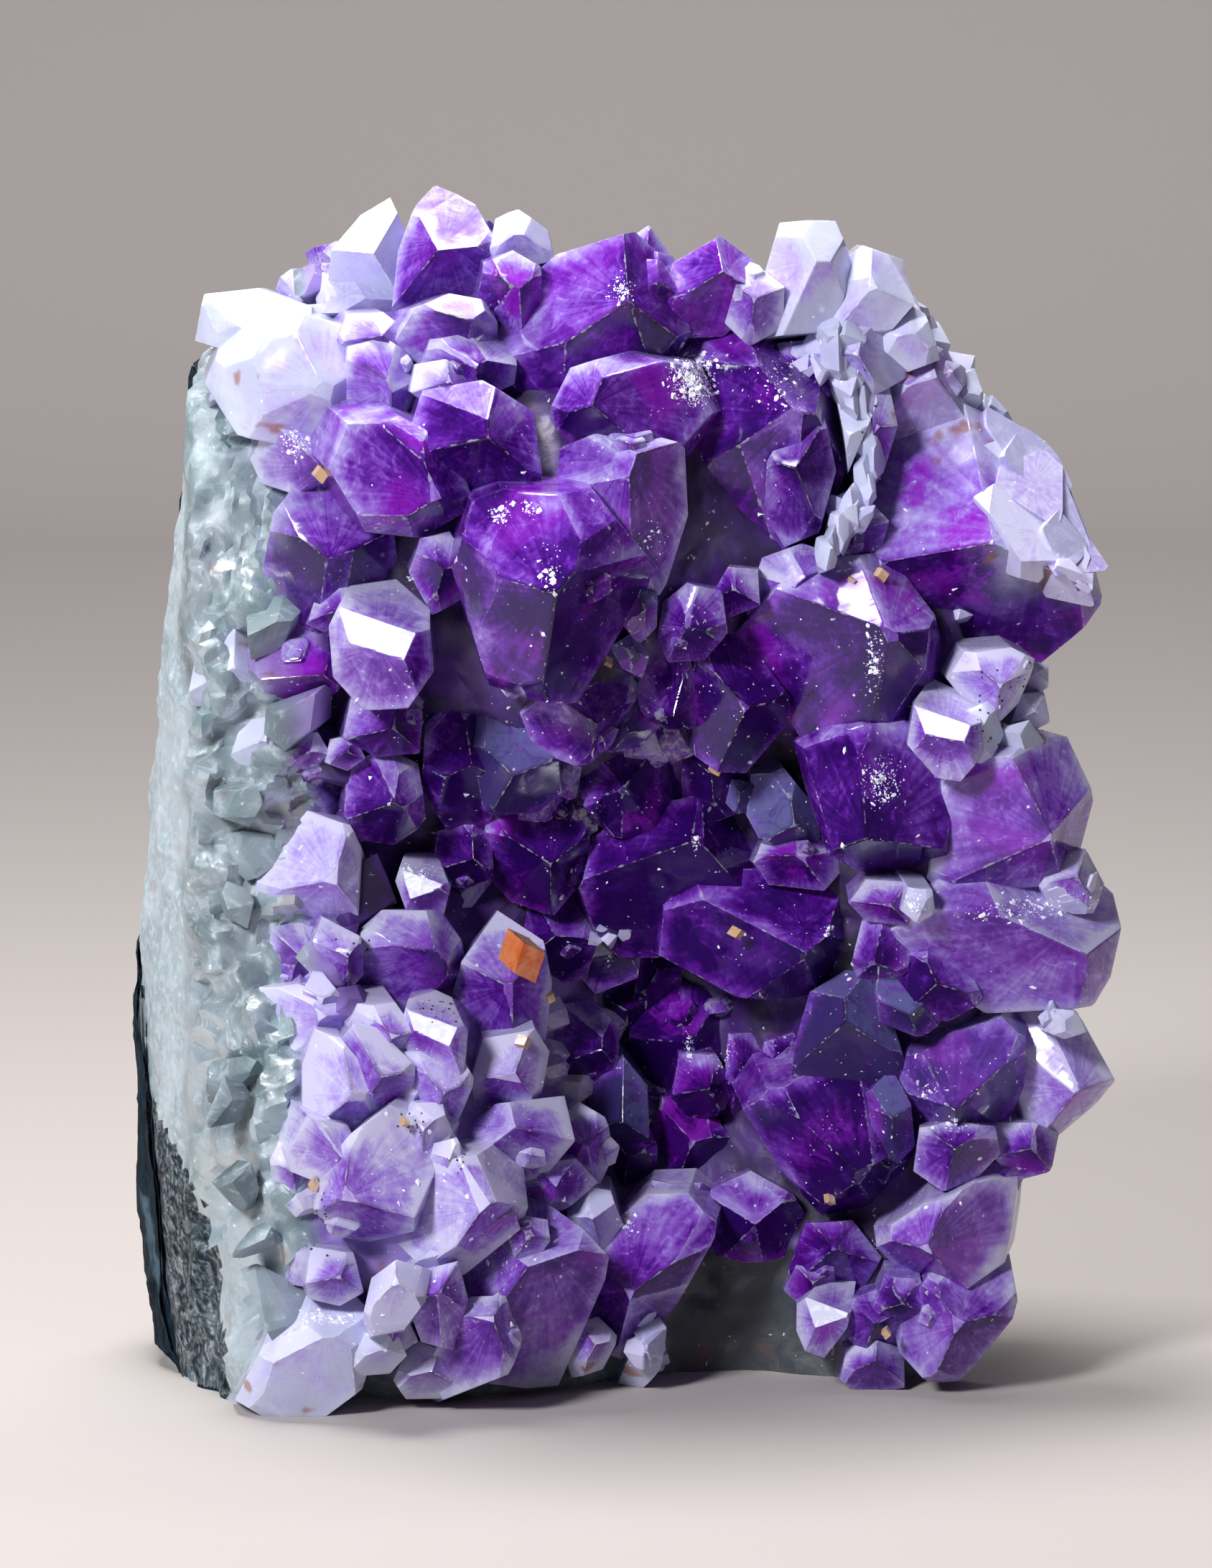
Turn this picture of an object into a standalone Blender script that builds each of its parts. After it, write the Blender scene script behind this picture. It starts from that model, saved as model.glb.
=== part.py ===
"""Amethyst cluster: violet quartz crystals grown on a pale quartz wall, with the
dark basalt the wall grew on still stuck to its back, and calcite grains on the
crystals.  It stands on its flat underside, front towards -Y.  Metres, +Z up."""
import math
import random

import bmesh
import bpy
from mathutils import Vector
from mathutils.bvhtree import BVHTree

MM = 0.001
GAP = 0.3               # between touching bodies, mm
WALL_FLATTEN = 12      # faces of the wall and rind that meet at a smaller angle become one, degrees
FLATTEN = 1.0           # the same, for the joined solid
PYRAMID_RISE = 1.27     # tip height over apothem: rhombohedral faces stand at 51.8 degrees
SPREAD = 1.07           # heads are this much larger than their outlines, so they pack
LEAN = 0.6              # share of the apex's offset that the whole crystal leans by
MAX_LEAN = 0.5          # sine of the steepest lean of a crystal axis
ROOT = 5.0              # how far a crystal's foot is buried in the quartz wall, mm
MAX_PRISM = 42.0        # longest prism below a tip, mm

# Envelope of the crystal tips: forward distance at (x, z) as a base plus bulges, mm.
TIP_BASE = 28.0
TIP_BULGES = (
    # x, z, half width x, half width z, forward
    (-8, 165, 42, 42, 38),      # upper boss
    (-42, 38, 34, 42, 42),      # lower left boss
    (66, 108, 26, 50, 26),      # right flank
    (62, 22, 26, 26, 10),       # lower right foot
    (-70, 190, 20, 30, -6),
    (4, 72, 22, 34, -30),       # central hollow
    (-30, 100, 16, 16, -10),
    (70, 190, 35, 30, -14),
)
# Outlines lie on the envelope and are carried to their own depth along lines
# that spread from this point, mm.
VANTAGE = Vector((-3.3, -1488.8, 298.5))

# Quartz wall: its edge seen from the front, (x, z) in mm, anticlockwise from +X.
WALL_CENTRE = (-8.0, 105.0)
WALL_EDGE = (
    (71, 105), (70, 130), (66, 150), (62, 170), (56, 186), (44, 200), (26, 211), (4, 209),
    (-16, 212), (-36, 222), (-54, 216), (-72, 205), (-83, 194), (-86, 172), (-88.5, 150),
    (-91, 125), (-93, 100), (-94.5, 78), (-94, 55), (-93, 32), (-91, 10), (-86, -10),
    (-60, -14), (-20, -14), (20, -14), (52, -12), (62, 4), (61, 24), (62, 44), (68, 62),
    (71, 84),
)
WALL_BACK = 46.0        # furthest reach to the back, mm
WALL_BACK_EDGE = 20.0
TIP_COVER = 17.0        # the wall's face lies this far below the tips, mm
SECTORS = 36
FRONT_RINGS = (0.22, 0.42, 0.6, 0.75, 0.88, 0.97)
BACK_RINGS = (0.95, 0.78, 0.55, 0.28)

# Basalt skin behind the wall and round its lower left edge
RIND_BACK = 8.0
RIND_SIDE = 3.2

# Arched hollow under the front of the base: centre and half sizes, mm
ARCH_CENTRE = (22.5, -42.0)
ARCH_HALF = (15.5, 33.0, 3.8)

# Calcite: name, (x, z) on the envelope, edge length, mm, turn in degrees
CALCITE = (
    ("calcite_rhomb", (-22.0, 82.5), 6.6, (24, 12, 38)),
    ("calcite_grain_01", (72.5, 134.5), 2.4, (10, 40, 15)),
    ("calcite_grain_02", (22.6, 89.0), 2.2, (30, 10, 65)),
    ("calcite_grain_03", (-2.8, 147.2), 1.7, (55, 20, 10)),
    ("calcite_grain_04", (-15.6, 77.0), 1.6, (15, 65, 30)),
    ("calcite_grain_05", (-58.5, 42.5), 1.7, (40, 30, 20)),
    ("calcite_grain_06", (-36.0, 14.0), 2.2, (12, 25, 70)),
    ("calcite_grain_07", (40.8, 39.5), 1.9, (70, 15, 35)),
    ("calcite_grain_08", (52.5, 16.0), 1.7, (25, 50, 5)),
    ("calcite_grain_09", (43.8, 157.8), 1.8, (35, 5, 50)),
    ("calcite_grain_10", (49.2, 158.8), 2.0, (5, 35, 25)),
    ("calcite_grain_11", (-42.0, 57.5), 1.5, (60, 10, 45)),
    ("calcite_grain_12", (17.6, 124.4), 1.9, (20, 20, 20)),
    ("calcite_grain_13", (-58.8, 47.6), 2.0, (45, 55, 10)),
    ("calcite_grain_14", (55.4, 101.2), 1.8, (33, 12, 80)),
)
CALCITE_FLATTENING = 0.72   # a cube squeezed to this along its body diagonal

# Crystals: name, forward of the envelope, apex (x, z), then the corners of the
# head (x, z) where the tip's faces meet the prism's, all in mm.  A row that is
# set in carries on the one above it.
CRYSTALS = """
white_crown 4 -51,194 -78,196 -74,207 -64,209.5 -54,207 -46,199 -45,192 -50,187 -62,186 -73,188
white_crown_top 0 -72,209 -81,205 -79,213 -70,214 -61,211 -60,204 -70,202
under_crown 3 -58,181 -70,181 -67,189.5 -58,190 -51,186 -52,179 -60,176 -68,177
left_high 6 -56,163 -68,160 -66,171 -61,177 -51,176 -45,170 -44,160 -49,153 -58,151 -66,154
left_high_b 6 -35,176.5 -53,179 -50,187 -42,189.5 -33,186 -31,177 -38,170 -48,170
left_high_c 6 -25.5,188 -40,186 -37,195 -27,197 -18,192 -17,182 -23,175 -34,175
crown_left 0 -34,224 -43,212 -42,222 -39,230 -36,234 -29,230 -24.5,222 -25,211 -33,208
crown_clear -2 -20,226 -25,222 -24,228 -20,229.5 -15,226 -14,221 -20,219.5
crown_mid 1 -20,215 -27,213 -26,219.5 -21,221.5 -16.5,219 -16,211 -21,208
crown_low_a 3 -28,209 -41,205 -39,211 -33,213.5 -26,212 -24,206 -29,202 -37,202
crown_low_b 2 -28,201 -38,199 -36,205 -28,206.5 -21,204 -21.5,198 -28,195.5 -35,196
crown_small_a 2 -46,206 -54,205 -52,209.5 -46,210 -42,207 -43,203 -50,202
crown_small_b 3 -44,197 -53,196 -52,203 -46,205 -41,202 -40,194 -45,190 -51,191
crown_small_c 3 -33,198 -40,196 -39,200.5 -34,201.5 -29,199 -28,194.5 -34,192
crown_quartz -6 -48,222 -56,214 -55,222 -50,228 -45,231 -42,224 -43,213 -50,210
top_centre 5 1,213 -23,202 -20,213 -12,220 0,223 8,217 9.5,206 3,195 -10,192 -19,195
top_centre_back -6 4.5,222 -3.5,217 0,223 4.5,226 8,222 9,216 2,213
centre_high_a 3 -6,194 -12,192 -9,200 0,202.5 9,200 13,192 8,185 -4,183
centre_high_b 1 5,173.5 -16,181 -10,186 2,187.5 10,184 11,175 7,163 3,162.5 -2,168 -10,176
right_high 8 33,191 8,190 11,203 18,208 28,207 36,201 41,190 38,176 30,164 18,160 9,164 7.5,178
right_high_b 5 33,181 28,182 32,189 38,189 40,180 37,170 31,168 27.5,174
crown_right 4 21,219.5 8,212 11,220 18,223.5 24,220 25.5,213 20,208 11,208
crown_right_b 3 25,213 18,211 20,217 25,219 30,215 30,208 24,205
white_right_a 4 35,220 28,207 28,218 30.5,226.5 40,226.5 43,219 40,208
white_right_b 3 48,215 40,207 42,219 46,222 53,219.5 55,212 50,206
white_right_c 4 56,206 49,204 53,212 57.5,209 60.5,201 55,199
right_clear 6 45,202 34,202 38,208 46,209 54,204 55,198 48,195 38,195.5
right_crown 4 60,198 50,191 52,198 60,201 66,196 66,187 58,182 51,184
white_fin 5 44,188 38,169 43,180 41,194 40,203 46,203 49,188 48,180 43,168
right_gap_a 2 45,169 39,165 40,174 45,176 50,170 48,161 42,160
right_shoulder 15 70,169 46,164 48,178 57,187 66,189 76.5,184.5 84,177 87.5,168 87.5,155 84,151
    74,138 66,138 56,146
left_mid_a 2 -57.5,141 -70,141 -69,148 -63,151 -57,148 -56,140 -60,135 -67,136
left_mid_b 8 -41,148.5 -55.5,150 -52,157 -44,158.5 -38,154 -37.5,143 -42,136 -50,135 -55,141
left_mid_c 2 -54,154 -60,151 -58,157 -52,158 -50,152 -55,149
left_mid_d 2 -44,131 -53,129 -51,136 -44,137.5 -39,134 -40,127 -47,125.5
left_mid_e 4 -44,116 -53,114 -52,122 -46,126 -40,123 -39,113 -44,108 -50,109
left_mid_f 1 -69,128 -75,125 -73,131 -68,132 -64,128 -66,122.5 -72,122
hollow_a -4 -29,124 -38,120 -37,131 -31,138 -25,136 -24,122 -26,111 -33,110
hollow_b -1 -21,122 -28,131 -26,134.5 -18,134.5 -13,128 -13,118 -17,114 -26,116
left_gap 0 -34,163 -40,162 -38,168 -33,169.5 -30,165 -31,158 -36,155
left_quartz 2 -75,142 -83,137 -81,147 -75,151 -70,147 -69.5,137 -75,131 -81,132
milky_left 5 -56,101 -70,98 -69,107 -62,113 -54,111 -50,103 -52,95 -60,92 -67,93
centre_big 10 -12.7,159.5 -30.5,163 -27,174 -22,176.5 -7,177 4.8,162.6 -9.3,139.5 -24.5,143
gap_c -4 12,152.5 7,150 8,157 12,160 18,158 19,151 15,146 9,146
gap_d -6 21,159 17,158 20,163 25,162 25.5,156 20,154
gap_e -2 33,160 24,156 27,164 34,166 41,163 40,156 31,150 26,151
frosted 3 23.5,135.5 13.5,140 14,147 17,150.5 22,149.5 30,138 29.5,132 23.5,123.5 18,124.5 14.5,127
centre_low_a -3 9.5,134 3,139 6,144 12,146 14,138 13,132 9,131.5 4,136
centre_low_b -3 -5,133 -17.5,134 -14,139 -8,142 0,143 2,140 -4,129 -8,125 -15,127
hollow_c -5 0,119 -7.5,121 -7,128 -4,131 9.5,131 10.5,112 4,109 -2.5,109.5 -7,115.5
hollow_d -9 17,122 12,115 12,127 17,129 24,126 24.5,116 18,113
hollow_f -3 33,112 25,113 26,120 31,122 35.5,116.5 37,110 33,108 27,108.5
hollow_g -4 34,106 26,104 28,109 37,109.5 42,105 38,100 29,100
right_big 10 51,150 25,150 30.5,158 39.5,162 48.5,162.5 53,159 59.5,148 58.5,139.5 53.5,131
    44.5,130.5 36.5,130.5 30.5,140
mirror_right 3 63,126 55,129 56,136 59,140 67,136.5 68,128 64,123 60,123.5
right_edge_a -2 68,132 64,128 65,135 70,137 72,131 69,126
right_edge_b -4 75.5,131 71,128 72,132 77,133 80,129.5 77,126.5
right_edge_c -6 78.5,135 74,133 76,138 80,138 81,133 77,131
right_edge_e 2 72,140 63,141 66,145.5 74,146 78,144 75,137 71,134 67,136
right_mid_a 8 46.5,110.5 34,125 40,129 46,131 53,130.5 62,122.5 62,113 60.5,106 51.5,102 44.5,106
    40,111.5 36.5,118.5
right_mid_b 3 82,111 60,105 62,123.5 67,126.5 79,129 85,127 89,116.5 86,107 81,104.5 63,102.5
right_mid_c 8 87,93.5 55,92.5 57.5,97 62,102.5 76,104 90,103 94,97.5 92,89.5 89,79 87,77 72,78
    66.5,77.5 61,85
right_mid_d 0 87,103 80,102 83,107 88,107.5 92,101 90,96 83,97
right_gap_b -1 51,98 44,98 47,102 55,103 58,99 55,95 47,94.5
hollow_big 2 14.5,108 -6.5,98 -4,108 3,113 13,115 24,115.5 28,104 24,94 17,85.5 2,84.5 -3,90
hollow_low 0 37,91 12,82 12,92 18,100 30,101 44,98 49,94 44.5,86.5 37,80 30.5,77.5 23.5,77
hollow_h 0 48,86 44.5,86 46,93 50,95.5 54.5,92 54,86 50,82.5 45.5,83
right_low_a 2 43,73.5 35,70 36,77 43,82.5 48.5,82.5 51,74 54,67.5 51.5,62.5 46.5,58.5 41,59.5
    33,62.5
right_low_b -2 55,76 49,80 50,84 59,81 62,76 57,73 50,74
right_low_c -6 60,83 52,82 56,90 64,88 68,80 62,76 54,77
right_low_d 2 64,57 54,65.5 56.5,69 62.5,71 69.5,75 76,70.5 76,60 72.5,52 64,51 56,55
right_low_e 4 64,49.5 57,45 58,53 64,54.5 71,53 72,48 68,44 62,42
right_low_f 0 88,60 74.5,73 77,75.5 82,76 88.5,72.5 92.5,63 90.5,58 83,50.5 79.5,50.5 74.5,55 76,65
right_low_g 0 85,74.5 81,73 82,77 87,76 89,72 85,71
right_low_h -2 79,49 72,48 73,53.5 79,54 84,51 82,45 76.5,43
right_low_i -6 71,43 66,40 67,45 73,46.5 77,44 75,38.5 69,38
right_low_j 5 46,43.5 26.5,51.5 30,57 38,61 47,61 55,57 55,48 48.5,38 39.5,36 32.5,43
right_low_k 1 52,55 47.5,59 52,63.5 55,58 56,50 52,46 49,50
right_low_l -5 32,61 26.5,57 28,67 33,69 38,64 37,55 30,53
valley_a -2 13,65 2.3,64 2.5,72 10.5,76 16,74.5 22,68 22,58 20,54.5 13,52 8.5,54 5,58
valley_b 0 17,57 10,55 12,62 18,63 21,58 19,53 13,52
valley_c -6 24,61 20,57 21,67 26,68 28,62 27,53 22,53
valley_e -6 -1,85 -9,82 -7,89 -1,91 3,86 2,78 -5,76
valley_f -4 -12,89 -23,83 -22,92 -16,96 -9,94.5 -7,86 -8,80 -16,79
valley_g -8 1,71 -4,66 -4,74 1,78 5,73 4,65 0,63
hollow_i 0 -14,103 -26.5,102 -25.5,112 -20,118 -12,118 -8,110 -8,101 -14,94.5 -21,96
hollow_j -3 -29,104 -36.5,102 -35,109 -30,111.5 -26,109 -26,101 -31,98
hollow_k 0 -38.5,98 -43.5,100 -42,104.5 -36.5,104 -34,98.5 -36,91 -40,91
left_low_a 3 -34.5,87 -51,84 -49,90 -45,93.5 -36,93 -32,86 -36,80.5 -42,79 -50,80.5
left_low_b 2 -53,87 -59,89 -57,92.5 -51.5,90 -50.5,84 -54,81 -57,84
left_low_c 1 -61,86 -68,84 -67,91 -61,92 -57,87 -59,80.5 -66,80
left_low_d 2 -58,79 -61,80 -59,84 -55,80 -54,75 -58,73.5 -61,76
left_low_e 2 -58,76 -70,72 -69,79 -62,80.5 -55,78.5 -50,77 -53,72.5 -61,70
left_low_f 4 -44,73 -51.5,74 -50,77.5 -44,77.8 -41,74 -42,69 -48,67.5
left_low_g 4 -36,70.5 -42,73 -40.5,78 -34.5,79 -31,73 -31.5,66.5 -38,66
left_low_h 4 -46,66 -54,69 -51,73.5 -47,73 -41,68 -41.5,60 -45,58.5 -50,62
left_low_i 4 -50,57.5 -60,66 -58,71.5 -54,71 -46,63 -45,57 -52,54 -60,56
left_low_j 1 -34,63 -42,63 -41,69 -33,70 -30,65 -32,58 -39,56.5
left_low_k 5 -22,80 -32,76 -30,84 -24,91 -17,86 -15.5,79 -16.5,69 -22,67 -30,68
left_low_l 5 -21,64 -28,65 -26,70 -18,70.5 -15.5,66 -17,60 -22,58 -27,60
left_low_m 4 -4,64.5 -17,64 -16,70 -12,73 -6,72.5 -2.5,67 -3.5,61 -7,56 -13,55
left_low_n 0 0,51 -7,52 -5,58 0,61 4,56 4,49 0,45.5 -5,46
left_low_o 5 -21,55 -31,50 -28,56 -24,58.5 -13,57 -11.5,50 -16,46 -28,45.5
left_low_p 4 -7,48 -19,48 -14,53 -9,55 -5,52 -3,46 -7,40 -14,41
left_low_q 2 -13,43 -20,43 -17,47 -10,46 -6,41 -12,38.5 -18,39.5
foot_a 2 -53.5,52 -62,51 -59.5,57.5 -53,56.5 -51,52 -56,47.5 -61.5,48
foot_c 4 -53,44.5 -56,43.5 -55.5,49 -50.5,55 -46,58 -36,53 -40,43.5 -41,40 -49.5,37 -54,38
foot_d 6 -26.5,42 -41,45 -39,49 -32,51 -25.5,50.5 -20,45 -21,38 -27,34 -36,32.5 -41,38
foot_e 5 -21,40 -38,32 -33,37 -24,43 -20,42 -21,37 -28,31 -36,29
foot_f 11 -15.5,32 -35,22 -28,31 -22.5,37 -19.5,39.5 -14.5,38 -9.5,31.5 -5.5,27.5 -6,23 -9,16
    -12.5,7 -18,7 -30,10
foot_g 8 -25,19.5 -35,11 -32,20 -29,23 -24,22 -21,13 -23,8 -32,5
foot_h 2 -35,26 -40,24 -38,30 -32,31 -30.5,24 -33,15 -38,17
foot_i 5 -43,29 -48.5,22 -47,29 -43,32 -37.5,30.5 -38.5,25 -42,20 -47.5,18.5
foot_j 1 -54,29 -60,27 -58.5,33 -52,33.5 -50.5,27 -54,23.5 -59,24
foot_k 7 -57,17 -72.5,1.5 -69.5,9 -65.5,18 -62,25 -55,26 -50,20 -50.5,12 -52,6 -58,0 -68,-1
foot_l 3 -46,14 -51,12 -49,17 -44,17.5 -42.5,13 -45,9 -51,8
foot_m 2 -37,9 -43,7 -40,15 -35,13 -32,6 -35,3 -41,3
foot_n -1 -44,18 -49,15 -47,21 -42,22 -40,16 -44,13
foot_o 3 -5,11 -10,8 -10,14.5 -5,15 -2,11.5 -4,6 -9,5
foot_p 3 -6,35 -10,31 -10,37.5 -7,40 -3,38.5 -1,33 -5,29
foot_q 8 1.5,20 -6.5,17 -4.5,28 0.5,32.5 4,34.5 11,34.5 16,31 15.5,24 9,17 7,13.5 0.5,9 -4,12
foot_r -1 8,37 3,36 6,40 11,39 12,34 7,32
foot_t 3 5,8 0,2 2,9 6,15 8,12 7,5 4,1
base_right_a -2 26,34 17,31 18,38 25,41.5 32,38.5 35.5,33 31,27 24,26 19,27
base_right_b -6 14,48 5,44 8,54 15,55 20,48 18,40 10,38
base_right_d -5 41,29 33,24 36,33 44,34 49,28 46,22 38,21
base_right_e 5 58.5,30 48.5,33.5 52,36.5 59,39 63.5,42 70,41 73.5,39.5 73,33 72,26.5 66.5,24.5 60,23
    53,26
base_right_f 4 40.5,10 34.5,12 34.5,17 38,20.5 45,21.5 46,18 43,13 41.5,6 36,8.5
base_right_g 5 65,15 54,13.5 55,18 59.5,24.5 67,26.5 74,26 75,19 74,16 68,7 65.5,4 60,4 55,9
base_right_h -1 49,15 44,12 45,19 50,21 54,17 53,10 47,8
base_right_i 0 54,19 49,18 51,24 57,24 59,18 55,14
"""


def envelope(x, z):
    forward = TIP_BASE
    for x0, z0, sx, sz, rise in TIP_BULGES:
        forward += rise * math.exp(-((x - x0) / sx) ** 2 - ((z - z0) / sz) ** 2)
    return forward


def on_envelope(x, z):
    return Vector((x, -envelope(x, z), z))


def carried(x, z, forward):
    """The point on the line through the envelope at (x, z) that lies this far forward."""
    start = on_envelope(x, z)
    ray = start - VANTAGE
    return start + ray * ((-forward - start.y) / ray.y)


def smooth(a, b, value):
    t = min(1.0, max(0.0, (value - a) / (b - a)))
    return t * t * (3 - 2 * t)


def wall_radius(angle):
    """Distance from the wall's centre to its edge, joined smoothly round."""
    polar = sorted(
        (math.atan2(z - WALL_CENTRE[1], x - WALL_CENTRE[0]) % math.tau,
         math.hypot(x - WALL_CENTRE[0], z - WALL_CENTRE[1]))
        for x, z in WALL_EDGE
    )
    first, last = polar[0], polar[-1]
    polar = [(last[0] - math.tau, last[1]), *polar, (first[0] + math.tau, first[1])]
    angle %= math.tau
    for (a0, r0), (a1, r1) in zip(polar, polar[1:]):
        if a0 <= angle <= a1:
            t = (angle - a0) / (a1 - a0)
            return r0 + (r1 - r0) * t
    return polar[0][1]


def wall_front(x, z):
    """How far forward the wall's own face stands, mm."""
    cover = TIP_COVER
    cover -= 15 * smooth(-50, -68, x) * smooth(215, 150, z)     # bare quartz on the left
    cover -= 6 * smooth(18, 2, z) * smooth(12, -10, x)          # thick foot
    cover -= 3 * smooth(20, 4, z) * smooth(30, 50, x)
    cover += 3 * smooth(30, 0, abs(x - 22)) * smooth(30, 10, z)
    forward = envelope(x, z) - cover
    left_flank = 3 + 1.75 * (x + 95)
    return min(forward, left_flank) + 0.9 * math.sin(0.31 * x + 0.2 * z) * math.cos(0.23 * z - 0.1 * x)


def wall_back(x, z):
    u = (x - WALL_CENTRE[0]) / 84.0
    w = (z - 100.0) / 118.0
    bulge = max(0.0, 1 - u * u - w * w)
    hump = 2.2 * math.sin(0.09 * x + 1.0) + 2.0 * math.sin(0.11 * z + 0.05 * x)
    return WALL_BACK_EDGE + (WALL_BACK - WALL_BACK_EDGE) * bulge + hump


def wall_rings(extra_side=None, extra_back=0.0, front_in=0.0):
    """Rings of points from the front pole to the back pole, each SECTORS long."""
    cx, cz = WALL_CENTRE
    rings = []

    def ring(fraction, depth):
        points = []
        for k in range(SECTORS):
            angle = math.tau * k / SECTORS
            radius = wall_radius(angle) * fraction
            x, z = cx + radius * math.cos(angle), cz + radius * math.sin(angle)
            y = depth(x, z)
            if extra_side:
                grow = extra_side(x, y, z) * smooth(0.7, 0.97, fraction)
                x, z = x + grow * math.cos(angle), z + grow * math.sin(angle)
            points.append(Vector((x, y, z)))
        rings.append(points)

    for fraction in FRONT_RINGS:
        ring(fraction, lambda x, z: -wall_front(x, z) + front_in)
    edge_back = lambda x, z: wall_back(x, z) + extra_back
    ring(1.0, lambda x, z: -wall_front(x, z) + front_in + 5)
    ring(1.015, lambda x, z: (-wall_front(x, z) + front_in) * 0.55 + edge_back(x, z) * 0.45)
    ring(1.0, lambda x, z: edge_back(x, z) - 4)
    for fraction in BACK_RINGS:
        ring(fraction, edge_back)
    front = Vector((cx, -wall_front(cx, cz) + front_in, cz))
    back = Vector((cx, edge_back(cx, cz), cz))
    return front, rings, back


def body_mesh(name, shape):
    """A UV sphere whose rings are moved onto the given rings."""
    front, rings, back = shape
    bm = bmesh.new()
    bmesh.ops.create_uvsphere(bm, u_segments=SECTORS, v_segments=len(rings) + 1, radius=1.0)
    for vert in bm.verts:
        polar = math.acos(max(-1.0, min(1.0, vert.co.z)))
        level = round(polar / math.pi * (len(rings) + 1))
        if level == 0:
            vert.co = front * MM
        elif level > len(rings):
            vert.co = back * MM
        else:
            sector = round(math.atan2(vert.co.y, vert.co.x) / math.tau * SECTORS) % SECTORS
            vert.co = rings[level - 1][sector] * MM
    bmesh.ops.dissolve_limit(
        bm, angle_limit=math.radians(WALL_FLATTEN), verts=bm.verts[:], edges=bm.edges[:])
    bmesh.ops.triangulate(bm, faces=bm.faces[:])
    bmesh.ops.recalc_face_normals(bm, faces=bm.faces[:])
    mesh = bpy.data.meshes.new(name)
    bm.to_mesh(mesh)
    bm.free()
    return mesh


def cut_with(bm, point, normal):
    geom = bm.verts[:] + bm.edges[:] + bm.faces[:]
    result = bmesh.ops.bisect_plane(
        bm, geom=geom, dist=1e-7, plane_co=point, plane_no=normal, clear_outer=True)
    edges = [e for e in result["geom_cut"] if isinstance(e, bmesh.types.BMEdge)]
    if edges:
        bmesh.ops.edgeloop_fill(bm, edges=edges)


def crystal(spec, rng):
    """One crystal: a block cut by the planes of its prism, its tip and its foot."""
    name, extra, apex_xz, *outline = spec
    ax, az = apex_xz
    cx, cz = (sum(values) / len(outline) for values in zip(*outline))
    outline = [(cx + (x - cx) * SPREAD, cz + (z - cz) * SPREAD) for x, z in outline]
    forward = envelope(ax, az) + extra
    apex = carried(ax, az, forward)
    heads = [carried(x, z, forward) for x, z in outline]
    centre = sum(heads, Vector()) / len(heads)
    size = len(heads)
    apothem = 0.0
    for k in range(size):
        a, b = heads[k], heads[(k + 1) % size]
        edge = b - a
        apothem += abs(edge.cross(centre - a).length / edge.length) / size
    height = PYRAMID_RISE * apothem
    lean = (apex - centre) * LEAN
    lean.y = 0
    if lean.length > MAX_LEAN * height:
        lean *= MAX_LEAN * height / lean.length
    axis = Vector((lean.x, -math.sqrt(height ** 2 - lean.length_squared), lean.z)).normalized()
    rim_point = apex - axis * height
    rim = []
    for x, z in outline:
        start = on_envelope(x, z)
        ray = (start - VANTAGE).normalized()
        rim.append(start + ray * ((rim_point - start).dot(axis) / ray.dot(axis)))
    middle = sum(rim, Vector()) / size
    foot = 0.0
    while foot < MAX_PRISM:
        point = middle - axis * foot
        if -point.y < wall_front(point.x, point.z) - ROOT:
            break
        foot += 1.0
    block = bmesh.new()
    bmesh.ops.create_cube(block, size=4 * (height + foot + apothem) * MM)
    bmesh.ops.translate(block, verts=block.verts[:], vec=middle * MM)
    for k in range(size):
        a, b = rim[k], rim[(k + 1) % size]
        side = axis.cross(b - a).normalized()
        if side.dot(a - middle) < 0:
            side.negate()
        cut_with(block, a * MM, side)
        face = (b - a).cross(apex - a).normalized()
        if face.dot(a - middle) < 0:
            face.negate()
        step = apothem * (rng.uniform(0.10, 0.30) if k % 2 else rng.uniform(0.0, 0.05))
        cut_with(block, (a + face * step) * MM, face)
    cut_with(block, (middle - axis * foot) * MM, -axis)
    bmesh.ops.recalc_face_normals(block, faces=block.faces[:])
    mesh = bpy.data.meshes.new(name)
    block.to_mesh(mesh)
    block.free()
    return mesh


def material(name, colour, roughness, transmission=0.0):
    mat = bpy.data.materials.new(name)
    mat.use_nodes = True
    shader = mat.node_tree.nodes["Principled BSDF"]
    shader.inputs["Base Color"].default_value = (*colour, 1.0)
    shader.inputs["Roughness"].default_value = roughness
    shader.inputs["Metallic"].default_value = 0.0
    shader.inputs["Transmission Weight"].default_value = transmission
    mat.diffuse_color = (*colour, 1.0)
    return mat


def add_object(name, mesh, collection, mat=None):
    obj = bpy.data.objects.new(name, mesh)
    collection.objects.link(obj)
    if mat:
        mesh.materials.clear()
        mesh.materials.append(mat)
    else:
        obj.hide_render = True
        obj.display_type = "WIRE"
    return obj


def boolean(obj, cutter, operation):
    mod = obj.modifiers.new(cutter.name, "BOOLEAN")
    mod.object = cutter
    mod.operation = operation
    mod.solver = "EXACT"
    return mod


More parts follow.
